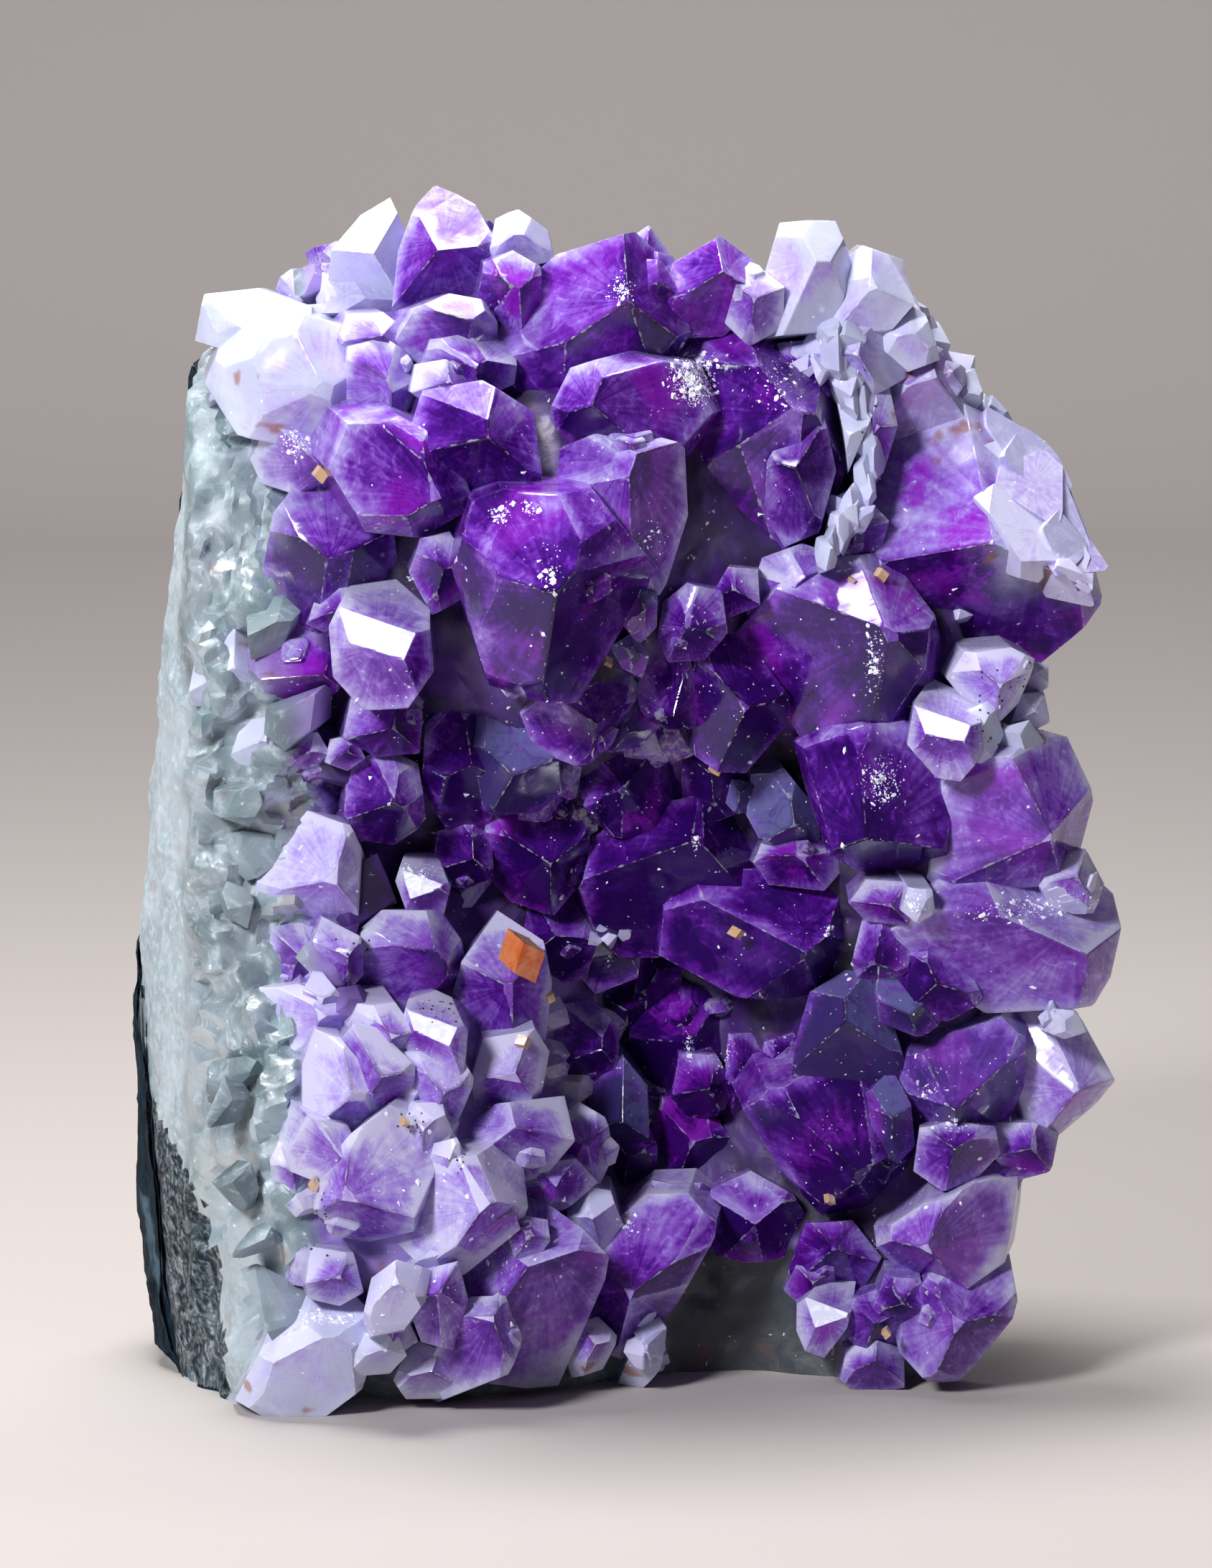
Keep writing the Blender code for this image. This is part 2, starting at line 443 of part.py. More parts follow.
def without_pockets(obj):
    """Apply the modifiers and drop every closed shell but the outer one."""
    bpy.context.view_layer.update()
    evaluated = obj.evaluated_get(bpy.context.evaluated_depsgraph_get())
    mesh = bpy.data.meshes.new_from_object(evaluated)
    bm = bmesh.new()
    bm.from_mesh(mesh)
    bmesh.ops.dissolve_limit(
        bm, angle_limit=math.radians(FLATTEN), verts=bm.verts[:], edges=bm.edges[:])
    bmesh.ops.triangulate(bm, faces=bm.faces[:])
    shells = []
    left = set(bm.faces)
    while left:
        shell = {left.pop()}
        edge_of = list(shell)
        while edge_of:
            for edge in edge_of.pop().edges:
                for face in edge.link_faces:
                    if face in left:
                        left.remove(face)
                        shell.add(face)
                        edge_of.append(face)
        shells.append(shell)
    shells.sort(key=len)
    for shell in shells[:-1]:
        bmesh.ops.delete(bm, geom=list(shell), context="FACES")
    bm.to_mesh(mesh)
    bm.free()
    obj.modifiers.clear()
    obj.data = mesh


def read_crystals():
    for line in CRYSTALS.strip().replace("\n   ", "").splitlines():
        name, extra, *points = line.split()
        yield (name, float(extra), *(tuple(map(float, p.split(","))) for p in points))


def main():
    for obj in list(bpy.data.objects):
        bpy.data.objects.remove(obj, do_unlink=True)
    parts = bpy.data.collections.new("amethyst_cluster")
    cutters = bpy.data.collections.new("cutters")
    bpy.context.scene.collection.children.link(parts)
    bpy.context.scene.collection.children.link(cutters)

    amethyst = material("amethyst", (0.24, 0.09, 0.42), 0.12, 0.35)
    basalt = material("basalt", (0.05, 0.07, 0.07), 0.8)
    calcite = material("calcite_orange", (0.82, 0.31, 0.04), 0.35, 0.2)
    cream = material("calcite_cream", (0.80, 0.66, 0.38), 0.4, 0.2)

    wall = body_mesh("wall_body", wall_rings())
    druse = add_object("amethyst_druse", wall.copy(), parts, amethyst)
    rng = random.Random(7)
    crystals = bpy.data.collections.new("crystals")
    cutters.children.link(crystals)
    for spec in read_crystals():
        add_object(spec[0], crystal(spec, rng), crystals)
    join = druse.modifiers.new("crystals", "BOOLEAN")
    join.operand_type = "COLLECTION"
    join.collection = crystals
    join.operation = "UNION"
    join.solver = "EXACT"

    bm = bmesh.new()
    bmesh.ops.create_cube(bm, size=400 * MM)
    bmesh.ops.translate(bm, verts=bm.verts[:], vec=Vector((0, 0, -200)) * MM)
    ground = bpy.data.meshes.new("ground")
    bm.to_mesh(ground)
    bm.free()
    ground = add_object("ground", ground, cutters)
    boolean(druse, ground, "DIFFERENCE")

    bm = bmesh.new()
    bmesh.ops.create_uvsphere(bm, u_segments=16, v_segments=8, radius=1.0)
    bmesh.ops.scale(bm, verts=bm.verts[:], vec=Vector(ARCH_HALF) * MM)
    bmesh.ops.translate(bm, verts=bm.verts[:], vec=Vector((*ARCH_CENTRE, -0.05)) * MM)
    arch = bpy.data.meshes.new("arch")
    bm.to_mesh(arch)
    bm.free()
    arch = add_object("arch", arch, cutters)
    boolean(druse, arch, "DIFFERENCE")

    def rind_side(x, y, z):
        low_left = smooth(-79, -84, x + 0.32 * max(z - 8, 0)) * smooth(56, 46, z)
        left = 0.6 * smooth(-60, -84, x) * smooth(92, 80, z) * smooth(-8, 2, y)
        behind = smooth(10, 20, y)
        return -2.0 + (2.0 + RIND_SIDE) * max(low_left, left, behind)

    rind = body_mesh("rind_body", wall_rings(rind_side, RIND_BACK, front_in=2.5))
    rind = add_object("basalt_rind", rind, parts, basalt)
    clearance = add_object("clearance", wall.copy(), cutters)
    swell = clearance.modifiers.new("swell", "DISPLACE")
    swell.strength = GAP * MM
    swell.mid_level = 0.0
    boolean(rind, clearance, "DIFFERENCE")
    boolean(rind, ground, "DIFFERENCE")
    without_pockets(druse)
    without_pockets(rind)
    place_calcite(druse, parts, calcite, cream)


def place_calcite(druse, parts, calcite, cream):
    bpy.context.view_layer.update()
    depsgraph = bpy.context.evaluated_depsgraph_get()
    tree = BVHTree.FromObject(druse, depsgraph)
    for name, (x, z), edge, turn in CALCITE:
        bm = bmesh.new()
        bmesh.ops.create_cube(bm, size=edge * MM)
        diagonal = Vector((1, 1, 1)).normalized()
        for vert in bm.verts:
            along = vert.co.dot(diagonal)
            vert.co += diagonal * along * (CALCITE_FLATTENING - 1)
        mesh = bpy.data.meshes.new(name)
        bm.to_mesh(mesh)
        bm.free()
        ray = (on_envelope(x, z) - VANTAGE).normalized()
        hit, normal, _, _ = tree.ray_cast(VANTAGE * MM, ray)
        obj = add_object(name, mesh, parts, calcite if name == "calcite_rhomb" else cream)
        obj.rotation_euler = [math.radians(a) for a in turn]
        lift = 0.35 * edge
        while True:
            obj.location = hit + normal * lift * MM
            bpy.context.view_layer.update()
            own = [obj.matrix_world @ v.co for v in mesh.vertices]
            near = min(tree.find_nearest(p)[3] for p in own)
            inside = any((p - tree.find_nearest(p)[0]).dot(tree.find_nearest(p)[1]) < 0 for p in own)
            if near > GAP * MM and not inside:
                break
            lift += 0.15


main()
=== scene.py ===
"""Looks of the amethyst cluster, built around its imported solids.  Lengths are in mm
until a mesh is made; the frame is +Z up, with the crystals facing -Y."""

import math
import random
from itertools import combinations
from types import SimpleNamespace

import bmesh
import bpy
import numpy as np
from mathutils import Matrix, Vector, kdtree, noise
from mathutils.bvhtree import BVHTree


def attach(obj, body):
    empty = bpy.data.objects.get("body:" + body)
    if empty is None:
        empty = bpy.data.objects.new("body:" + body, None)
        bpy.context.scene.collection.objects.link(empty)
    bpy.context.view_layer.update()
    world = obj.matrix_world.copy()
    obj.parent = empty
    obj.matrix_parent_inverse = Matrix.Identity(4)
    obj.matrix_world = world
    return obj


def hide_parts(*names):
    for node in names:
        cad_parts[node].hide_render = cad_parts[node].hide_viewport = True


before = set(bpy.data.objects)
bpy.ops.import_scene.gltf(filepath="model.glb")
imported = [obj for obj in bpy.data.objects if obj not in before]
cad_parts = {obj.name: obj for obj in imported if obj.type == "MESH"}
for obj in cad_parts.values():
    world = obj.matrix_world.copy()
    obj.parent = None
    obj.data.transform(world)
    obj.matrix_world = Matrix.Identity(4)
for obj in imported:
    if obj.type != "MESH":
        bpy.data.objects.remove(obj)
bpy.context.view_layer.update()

MM = 0.001

# ---------------------------------------------------------------- measures of the growth
PYRAMID_RISE = 1.27         # height of a tip over its apothem
RIDGE_FALL = 0.65           # fall of a tip's ridge over its run
MILKY_FALL = 0.6            # share of that fall on the flatter, milky crystals
MAX_SLOPE_COSINE = 0.1      # keeps the face between two nearly opposite ridges from standing up
SPREAD = 1.13               # heads are wider than their outlines, so that they meet
LOW_LEFT_SPREAD = 0.08      # and wider still at the lower left
LEAN = 0.6                  # share of the apex's offset that the axis follows
MAX_LEAN = 0.5              # most that the axis leans, over the tip's height
RIM_DEPTH = 0.8             # place of the rim below the apex, over the tip's height
ROOT = 5.0                  # depth to which a prism is sunk in the wall
MAX_PRISM = 42.0
WIDE_GAP = math.radians(150)    # two ridges farther apart than this get another between

# The envelope that the tips reach: its base, and bulges as x, z, half-width,
# half-height, rise.
TIP_BASE = 28.0
TIP_BULGES = (
    (-8, 165, 42, 42, 38), (-42, 38, 34, 42, 42), (66, 108, 26, 50, 26), (62, 22, 26, 26, 10),
    (-70, 190, 20, 30, -6), (4, 72, 22, 34, -30), (-30, 100, 16, 16, -10), (70, 190, 35, 30, -14),
)
# The point in front of the cluster that outlines and details are laid out from.
VANTAGE = Vector((-3.3, -1488.8, 298.5))

# The quartz wall: the middle and the edge of its outline, the y of its back, and how
# far the tips stand in front of it.
WALL_CENTRE = (-8.0, 105.0)
WALL_EDGE = (
    (71, 105), (70, 130), (66, 150), (62, 170), (56, 186), (44, 200), (26, 211), (4, 209),
    (-16, 212), (-36, 222), (-54, 216), (-72, 205), (-83, 194), (-86, 172), (-88.5, 150),
    (-91, 125), (-93, 100), (-94.5, 78), (-94, 55), (-93, 32), (-91, 10), (-86, -10),
    (-60, -14), (-20, -14), (20, -14), (52, -12), (62, 4), (61, 24), (62, 44), (68, 62),
    (71, 84),
)
WALL_BACK = 46.0
WALL_BACK_EDGE = 20.0
TIP_COVER = 17.0
FLANK_LEFT = -95.0
FLANK_RISE = 1.75           # how fast the left flank comes forward

# Facets as smooth as glass: one with this normal mirrors the light from above, and is also painted near
# white, a painted reflection of that light.
MIRROR_NORMAL = Vector((-0.05, -0.80, 0.60)).normalized()

# Tones: density of the violet, paleness of the rim, milkiness, share of grey, polish.
# The grey of B is a painted sheen of dim reflected light; on the clear and quartz tones it is their own
# grey.
TONES = {
    "V": (0.80, 0.50, 0.00, 0.00, 0.3), "D": (0.72, 0.55, 0.00, 0.00, 0.3),
    "P": (0.58, 0.75, 0.05, 0.00, 0.3), "L": (0.42, 0.90, 0.20, 0.00, 0.3),
    "B": (0.74, 0.45, 0.00, 0.30, 0.0), "S": (0.66, 0.60, 0.05, 0.00, 1.0),
    "M": (0.34, 1.00, 0.60, 0.05, 0.2), "H": (0.70, 0.60, 0.05, 0.00, 0.2),
    "R": (0.52, 0.90, 0.20, 0.00, 0.3), "W": (0.38, 0.70, 0.85, 0.00, 0.3),
    "C": (0.16, 0.90, 0.60, 0.40, 0.6), "Q": (0.12, 0.70, 0.85, 0.50, 0.3),
}
BIG_APOTHEM = 6.0           # crystals bigger than this carry smaller ones
CARRIERS = "VDPL"           # if their tone is one of these

# Where the violet is painted denser or thinner than a crystal's tone: painted shade in the
# hollow and the dark valleys, which lie back, and painted light at the lower left, which
# stands forward.  Columns: x, z, half-width, half-height, power, amount.
LIGHT_AND_SHADE_ZONES = (
    (4, 108, 34, 38, 2, 0.24), (6, 60, 16, 30, 2, 0.20), (-40, 40, 30, 44, 4, -0.20),
    (78, 50, 16, 40, 2, 0.02), (36, 62, 26, 34, 2, 0.22),
)
RIGHT_THINNING = 0.06

# Fineness of the meshes.
EDGE_WEAR = (0.14, 0.024, 0.6)  # width of a rounded edge: base, per mm of apothem, most
SMALL_EDGE_WEAR = 0.12
HEAD_GRAIN = 2.0            # longest edge on a crystal's head
COARSENING = 0.12           # how much longer the edges get with each mm below the head
WELD = 0.02

# Crystals: name, tone, forward of the envelope, apex (x, z), corners of the head (x, z).
# A star marks a corner that a ridge of the tip runs to.
CRYSTALS = """
white_crown W 6 -57,196 -78,196* -74,207 -64,209.5* -54,207 -46,199* -45,192 -50,187* -62,186 -73,188*
white_crown_top W 0 -71,209 -81,205* -79,213* -70,214 -61,211* -60,204 -70,202*
under_crown L 3 -58,181 -70,181 -67,189.5 -58,190 -51,186 -52,179 -60,176 -68,177
left_high D 6 -56,163 -68,160 -66,171 -61,177 -51,176 -45,170 -44,160 -49,153 -58,151 -66,154
left_high_b D 6 -35,176.5 -53,179 -50,187 -42,189.5 -33,186 -31,177 -38,170 -48,170
left_high_c D 6 -25.5,188 -40,186 -37,195 -27,197 -18,192 -17,182 -23,175 -34,175
crown_left P 0 -34,224 -43,212 -42,222 -39,230 -36,234 -29,230 -24.5,222 -25,211 -33,208
crown_clear C -2 -20,226 -25,222 -24,228 -20,229.5 -15,226 -14,221 -20,219.5
crown_mid D 1 -20,215 -27,213 -26,219.5 -21,221.5 -16.5,219 -16,211 -21,208
crown_low_a P 3 -28,209 -41,205 -39,211 -33,213.5 -26,212 -24,206 -29,202 -37,202
crown_low_b P 2 -28,201 -38,199 -36,205 -28,206.5 -21,204 -21.5,198 -28,195.5 -35,196
crown_small_a L 2 -46,206 -54,205 -52,209.5 -46,210 -42,207 -43,203 -50,202
crown_small_b L 3 -44,197 -53,196 -52,203 -46,205 -41,202 -40,194 -45,190 -51,191
crown_small_c L 3 -33,198 -40,196 -39,200.5 -34,201.5 -29,199 -28,194.5 -34,192
crown_quartz Q -6 -48,222 -56,214 -55,222 -50,228 -45,231 -42,224 -43,213 -50,210
top_centre D 5 1,213 -23,202 -20,213 -12,220 0,223* 8,217 9.5,206* 3,195* -10,192 -19,195*
top_centre_back P -6 4.5,222 -3.5,217 0,223 4.5,226 8,222 9,216 2,213
centre_high_a D 3 -6,194 -12,192 -9,200 0,202.5 9,200 13,192 8,185 -4,183
centre_high_b P 1 1,185 -16,181 -10,186 2,187.5 10,184 11,175 7,163 3,162.5 -2,168 -10,176
right_high V 8 33,191 8,190 11,203 18,208* 28,207 36,201 41,190* 38,176 30,164* 18,160 9,164 7.5,178*
right_high_b D 5 33,181 28,182 32,189 38,189 40,180 37,170 31,168 27.5,174
crown_right D 4 21,219.5 8,212 11,220 18,223.5 24,220 25.5,213 20,208 11,208
crown_right_b L 3 25,213 18,211 20,217 25,219 30,215 30,208 24,205
white_right_a W 6 35,220 28,207 28,218 30.5,226.5 40,226.5 43,219 40,208
white_right_b W 6 48,215 40,207 42,219 46,222 53,219.5 55,212 50,206
white_right_c W 6 56,206 49,204 53,212 57.5,209 60.5,201 55,199
right_clear C 6 45,202 34,202 38,208 46,209 54,204 55,198 48,195 38,195.5
right_crown P 4 60,198 50,191 52,198 60,201 66,196 66,187 58,182 51,184
right_crown_b Q 0 67,194 64,192 65,197 68,198 69.5,193 67,189
white_fin W 5 44,188 38,169 43,180 41,194 40,203 46,203 49,188 48,180 43,168
right_fin_side P 6 49,188 46,181 47,194 51,195 52.5,188 50,180
right_gap_a P 2 45,169 39,165 40,174 45,176 50,170 48,161 42,160
right_shoulder H 15 79,167 46,164* 48,178 57,187 66,189 76.5,184.5* 84,177 87.5,168 87.5,155* 84,151
    74,138 66,138 56,146
left_mid_a D 2 -57.5,141 -70,141 -69,148 -63,151 -57,148 -56,140 -60,135 -67,136
left_mid_b S 8 -41,148.5 -55.5,150 -52,157 -44,158.5 -38,154 -37.5,143 -42,136 -50,135 -55,141
left_mid_c P 2 -54,154 -60,151 -58,157 -52,158 -50,152 -55,149
left_mid_d D 2 -44,131 -53,129 -51,136 -44,137.5 -39,134 -40,127 -47,125.5
left_mid_e D 4 -44,116 -53,114 -52,122 -46,126 -40,123 -39,113 -44,108 -50,109
left_mid_f C 1 -69,128 -75,125 -73,131 -68,132 -64,128 -66,122.5 -72,122
left_mid_g P 1 -60,126 -64.5,124 -63,129 -59,129.5 -57,126 -60,122
left_mid_h P 1 -53,126 -57,124 -56,128 -52,129 -50,125 -53,122.5
hollow_a V -4 -29,124 -38,120 -37,131 -31,138 -25,136 -24,122 -26,111 -33,110
hollow_b B -1 -21,122 -28,131 -26,134.5 -18,134.5 -13,128 -13,118 -17,114 -26,116
left_gap D 0 -34,163 -40,162 -38,168 -33,169.5 -30,165 -31,158 -36,155
left_quartz Q 2 -75,142 -83,137 -81,147 -75,151 -70,147 -69.5,137 -75,131 -81,132
milky_left M 5 -56,101 -70,98 -69,107 -62,113 -54,111 -50,103 -52,95 -60,92 -67,93
centre_big V 10 -12.7,159.5 -30.5,163* -27,174 -22,176.5 -7,177* 4.8,162.6 -9.3,139.5 -24.5,143*
gap_a B -9 4,156 0,154 2,160 6,159 6,153 3,150
gap_b B -8 2,148 -2,149 2,151.5 4.5,147 3.5,143 0,145
gap_c D -4 12,152.5 7,150 8,157 12,160 18,158 19,151 15,146 9,146
gap_d D -6 21,159 17,158 20,163 25,162 25.5,156 20,154
gap_e P -2 33,160 24,156 27,164 34,166 41,163 40,156 31,150 26,151
frosted V 3 23.5,135.5 13.5,140 14,147 17,150.5 22,149.5 30,138 29.5,132 23.5,123.5 18,124.5 14.5,127
centre_low_a D -3 9.5,134 3,139 6,144 12,146 14,138 13,132 9,131.5 4,136
centre_low_b P -3 -5,133 -17.5,134 -14,139 -8,142 0,143 2,140 -4,129 -8,125 -15,127
centre_low_c B -5 1,131 -4.5,129 0,137 3,140 6.5,133 3,128 -2,128
hollow_c V -5 0,119 -7.5,121 -7,128 -4,131 9.5,131 10.5,112 4,109 -2.5,109.5 -7,115.5
hollow_d D -9 17,122 12,115 12,127 17,129 24,126 24.5,116 18,113
hollow_e B -7 22.5,118 20,116 21,120.5 25,120 25,115 22,114
hollow_f B -3 33,112 25,113 26,120 31,122 35.5,116.5 37,110 33,108 27,108.5
hollow_g P -4 34,106 26,104 28,109 37,109.5 42,105 38,100 29,100
right_big D 10 51,150 25,150 30.5,158* 39.5,162 48.5,162.5 53,159* 59.5,148 58.5,139.5* 53.5,131
    44.5,130.5* 36.5,130.5 30.5,140
mirror_right S 3 63,126 55,129 56,136 59,140 67,136.5 68,128 64,123 60,123.5
right_edge_a Q -2 68,132 64,128 65,135 70,137 72,131 69,126
right_edge_b Q -4 75.5,131 71,128 72,132 77,133 80,129.5 77,126.5
right_edge_c C -6 78.5,135 74,133 76,138 80,138 81,133 77,131
right_edge_d C -8 79,142 76,140 78,144 81,143 81,139.5 78,138
right_edge_e L 2 72,140 63,141 66,145.5 74,146 78,144 75,137 71,134 67,136
right_mid_a V 8 46.5,110.5 34,125 40,129 46,131* 53,130.5 62,122.5 62,113* 60.5,106 51.5,102 44.5,106
    40,111.5* 36.5,118.5
right_mid_b P 3 82,111 60,105* 62,123.5 67,126.5* 79,129 85,127 89,116.5 86,107* 81,104.5 63,102.5
right_mid_c P 8 87,93.5 55,92.5 57.5,97* 62,102.5 76,104 90,103* 94,97.5 92,89.5 89,79* 87,77 72,78
    66.5,77.5 61,85
right_mid_d L 0 87,103 80,102 83,107 88,107.5 92,101 90,96 83,97
right_gap_b P -1 51,98 44,98 47,102 55,103 58,99 55,95 47,94.5
right_gap_c C -1 57,98 53.5,97 54.5,101.5 58.5,101.5 59,97.5 56,95.5
hollow_big V 2 14.5,108 -6.5,98 -4,108 3,113 13,115 24,115.5 28,104 24,94 17,85.5 2,84.5 -3,90
hollow_low V 0 37,91 12,82 12,92 18,100 30,101 44,98 49,94 44.5,86.5 37,80 30.5,77.5 23.5,77
hollow_h P 0 48,86 44.5,86 46,93 50,95.5 54.5,92 54,86 50,82.5 45.5,83
right_low_a B 2 43,73.5 35,70 36,77 43,82.5 48.5,82.5 51,74 54,67.5 51.5,62.5 46.5,58.5 41,59.5 33,62.5
right_low_b B -2 55,76 49,80 50,84 59,81 62,76 57,73 50,74
right_low_c D -6 60,83 52,82 56,90 64,88 68,80 62,76 54,77
right_low_d B 2 64,57 54,65.5 56.5,69 62.5,71 69.5,75 76,70.5 76,60 72.5,52 64,51 56,55
right_low_e P 4 64,49.5 57,45 58,53 64,54.5 71,53 72,48 68,44 62,42
right_low_f L 0 88,60 74.5,73 77,75.5 82,76 88.5,72.5 92.5,63 90.5,58 83,50.5 79.5,50.5 74.5,55 76,65
right_low_g W 0 85,74.5 81,73 82,77 87,76 89,72 85,71
right_low_h P -2 79,49 72,48 73,53.5 79,54 84,51 82,45 76.5,43
right_low_i D -6 71,43 66,40 67,45 73,46.5 77,44 75,38.5 69,38
right_low_j V 5 46,43.5 26.5,51.5 30,57 38,61 47,61 55,57 55,48 48.5,38 39.5,36 32.5,43
right_low_k B 1 52,55 47.5,59 52,63.5 55,58 56,50 52,46 49,50
right_low_l D -5 32,61 26.5,57 28,67 33,69 38,64 37,55 30,53
valley_a V -2 13,65 2.3,64 2.5,72 10.5,76 16,74.5 22,68 22,58 20,54.5 13,52 8.5,54 5,58
valley_b D 0 17,57 10,55 12,62 18,63 21,58 19,53 13,52
valley_c D -6 24,61 20,57 21,67 26,68 28,62 27,53 22,53
valley_d D -6 7,79 2.5,72 4,83 8,85 11,80 11,72 7,69
valley_e S -6 -1,85 -9,82 -7,89 -1,91 3,86 2,78 -5,76
valley_f D -4 -12,89 -23,83 -22,92 -16,96 -9,94.5 -7,86 -8,80 -16,79
valley_g D -8 1,71 -4,66 -4,74 1,78 5,73 4,65 0,63
hollow_i V 0 -14,103 -26.5,102 -25.5,112 -20,118 -12,118 -8,110 -8,101 -14,94.5 -21,96
hollow_j D -3 -29,104 -36.5,102 -35,109 -30,111.5 -26,109 -26,101 -31,98
hollow_k S 0 -38.5,98 -43.5,100 -42,104.5 -36.5,104 -34,98.5 -36,91 -40,91
left_low_a P 3 -34.5,87 -51,84 -49,90 -45,93.5 -36,93 -32,86 -36,80.5 -42,79 -50,80.5
left_low_b P 2 -53,87 -59,89 -57,92.5 -51.5,90 -50.5,84 -54,81 -57,84
left_low_c P 0 -62,87 -68,84 -67,91 -61,92 -57,87 -59,80.5 -66,80
left_low_d L 2 -58,79 -61,80 -59,84 -55,80 -54,75 -58,73.5 -61,76
left_low_e M 2 -58,76 -70,72 -69,79 -62,80.5 -55,78.5 -50,77 -53,72.5 -61,70
left_low_f L 4 -44,73 -51.5,74 -50,77.5 -44,77.8 -41,74 -42,69 -48,67.5
left_low_g S 4 -36,70.5 -42,73 -40.5,78 -34.5,79 -31,73 -31.5,66.5 -38,66
left_low_h P 4 -46,66 -54,69 -51,73.5 -47,73 -41,68 -41.5,60 -45,58.5 -50,62
left_low_i L 3 -51.5,62.5 -60,66 -58,71.5 -54,71 -46,63 -45,57 -52,54 -60,56
left_low_j L 1 -34,63 -42,63 -41,69 -33,70 -30,65 -32,58 -39,56.5
left_low_k P 5 -22,80 -32,76 -30,84 -24,91 -17,86 -15.5,79 -16.5,69 -22,67 -30,68
left_low_l L 5 -21,64 -28,65 -26,70 -18,70.5 -15.5,66 -17,60 -22,58 -27,60
left_low_m P 4 -4,64.5 -17,64 -16,70 -12,73 -6,72.5 -2.5,67 -3.5,61 -7,56 -13,55
left_low_n B 0 0,51 -7,52 -5,58 0,61 4,56 4,49 0,45.5 -5,46
left_low_o P 5 -21,55 -31,50 -28,56 -24,58.5 -13,57 -11.5,50 -16,46 -28,45.5
left_low_p L 4 -7,48 -19,48 -14,53 -9,55 -5,52 -3,46 -7,40 -14,41
left_low_q P 2 -13,43 -20,43 -17,47 -10,46 -6,41 -12,38.5 -18,39.5
left_low_r L -2 -38,57 -42,56 -40,61 -35,60.5 -33,55 -38,51.5
left_low_s L -1 -33,52 -37,49 -35.5,54 -32,54.5 -30,50.5 -33,47
foot_a P 2 -53.5,52 -62,51 -59.5,57.5 -53,56.5 -51,52 -56,47.5 -61.5,48
foot_b L 0 -63,48 -67,49 -65.5,52 -61,51.5 -60,46 -63,43.5 -66.5,45
foot_c P 4 -53,44.5 -56,43.5 -55.5,49 -50.5,55 -46,58 -36,53 -40,43.5 -41,40 -49.5,37 -54,38
foot_d L 6 -26.5,42 -41,45 -39,49 -32,51 -25.5,50.5 -20,45 -21,38 -27,34 -36,32.5 -41,38
foot_e L 5 -21,40 -38,32 -33,37 -24,43 -20,42 -21,37 -28,31 -36,29
foot_f P 11 -15.5,32 -35,22 -28,31 -22.5,37 -19.5,39.5 -14.5,38 -9.5,31.5 -5.5,27.5 -6,23 -9,16 -12.5,7
    -18,7 -30,10
foot_g P 8 -25,19.5 -35,11 -32,20 -29,23 -24,22 -21,13 -23,8 -32,5
foot_h D 2 -35,26 -40,24 -38,30 -32,31 -30.5,24 -33,15 -38,17
foot_i C 5 -43,29 -48.5,22 -47,29 -43,32 -37.5,30.5 -38.5,25 -42,20 -47.5,18.5
foot_j P 1 -54,29 -60,27 -58.5,33 -52,33.5 -50.5,27 -54,23.5 -59,24
foot_k W 7 -57,17 -72.5,1.5 -69.5,9 -65.5,18 -62,25 -55,26 -50,20 -50.5,12 -52,6 -58,0 -68,-1
foot_l W 3 -46,14 -51,12 -49,17 -44,17.5 -42.5,13 -45,9 -51,8
foot_m L 2 -37,9 -43,7 -40,15 -35,13 -32,6 -35,3 -41,3
foot_n P -1 -44,18 -49,15 -47,21 -42,22 -40,16 -44,13
foot_o L 3 -5,11 -10,8 -10,14.5 -5,15 -2,11.5 -4,6 -9,5
foot_p C 3 -6,35 -10,31 -10,37.5 -7,40 -3,38.5 -1,33 -5,29
foot_q P 8 1.5,20 -6.5,17 -4.5,28 0.5,32.5 4,34.5 11,34.5 16,31 15.5,24 9,17 7,13.5 0.5,9 -4,12
foot_r P -1 8,37 3,36 6,40 11,39 12,34 7,32
foot_s D -2 14,37 11,34 11.5,39 15.5,39.5 16.5,34 13,32
foot_t Q 3 5,8 0,2 2,9 6,15 8,12 7,5 4,1
base_right_a D -2 26,34 17,31 18,38 25,41.5 32,38.5 35.5,33 31,27 24,26 19,27
base_right_b D -6 14,48 5,44 8,54 15,55 20,48 18,40 10,38
base_right_c D -8 1,45 -4,42 -3,50 3,52 6,46 5,38 0,36
base_right_d D -5 41,29 33,24 36,33 44,34 49,28 46,22 38,21
base_right_e R 5 58.5,30 48.5,33.5 52,36.5 59,39 63.5,42 70,41 73.5,39.5 73,33 72,26.5 66.5,24.5 60,23
    53,26
base_right_f S 4 40.5,10 34.5,12 34.5,17 38,20.5 45,21.5 46,18 43,13 41.5,6 36,8.5
base_right_g P 5 65,15 54,13.5 55,18 59.5,24.5 67,26.5 74,26 75,19 74,16 68,7 65.5,4 60,4 55,9
base_right_h D -1 49,15 44,12 45,19 50,21 54,17 53,10 47,8
base_right_i D 0 54,19 49,18 51,24 57,24 59,18 55,14
base_right_j P 0 49,7 43,3 44,9 49,11 54,9 54,2 47,0
base_right_k D -6 37,22 32,20 34,25 40,25 42,20 36,17
"""
GROUPS = {
    "crystals_crown": ("white_crown", "under_crown", "crown", "top", "centre_high", "white_right",
                       "right_clear", "right_crown", "white_fin"),
    "crystals_upper": ("left_high", "right_high", "right_fin", "right_gap_a", "right_shoulder",
                       "left_gap", "centre_big", "right_big", "gap"),
    "crystals_middle": ("left_mid", "left_quartz", "milky_left", "frosted", "centre_low", "hollow",
                        "mirror_right", "right_edge", "right_mid", "right_gap"),
    "crystals_lower": ("left_low", "right_low", "valley"),
    "crystals_foot": ("foot", "base_right"),
}


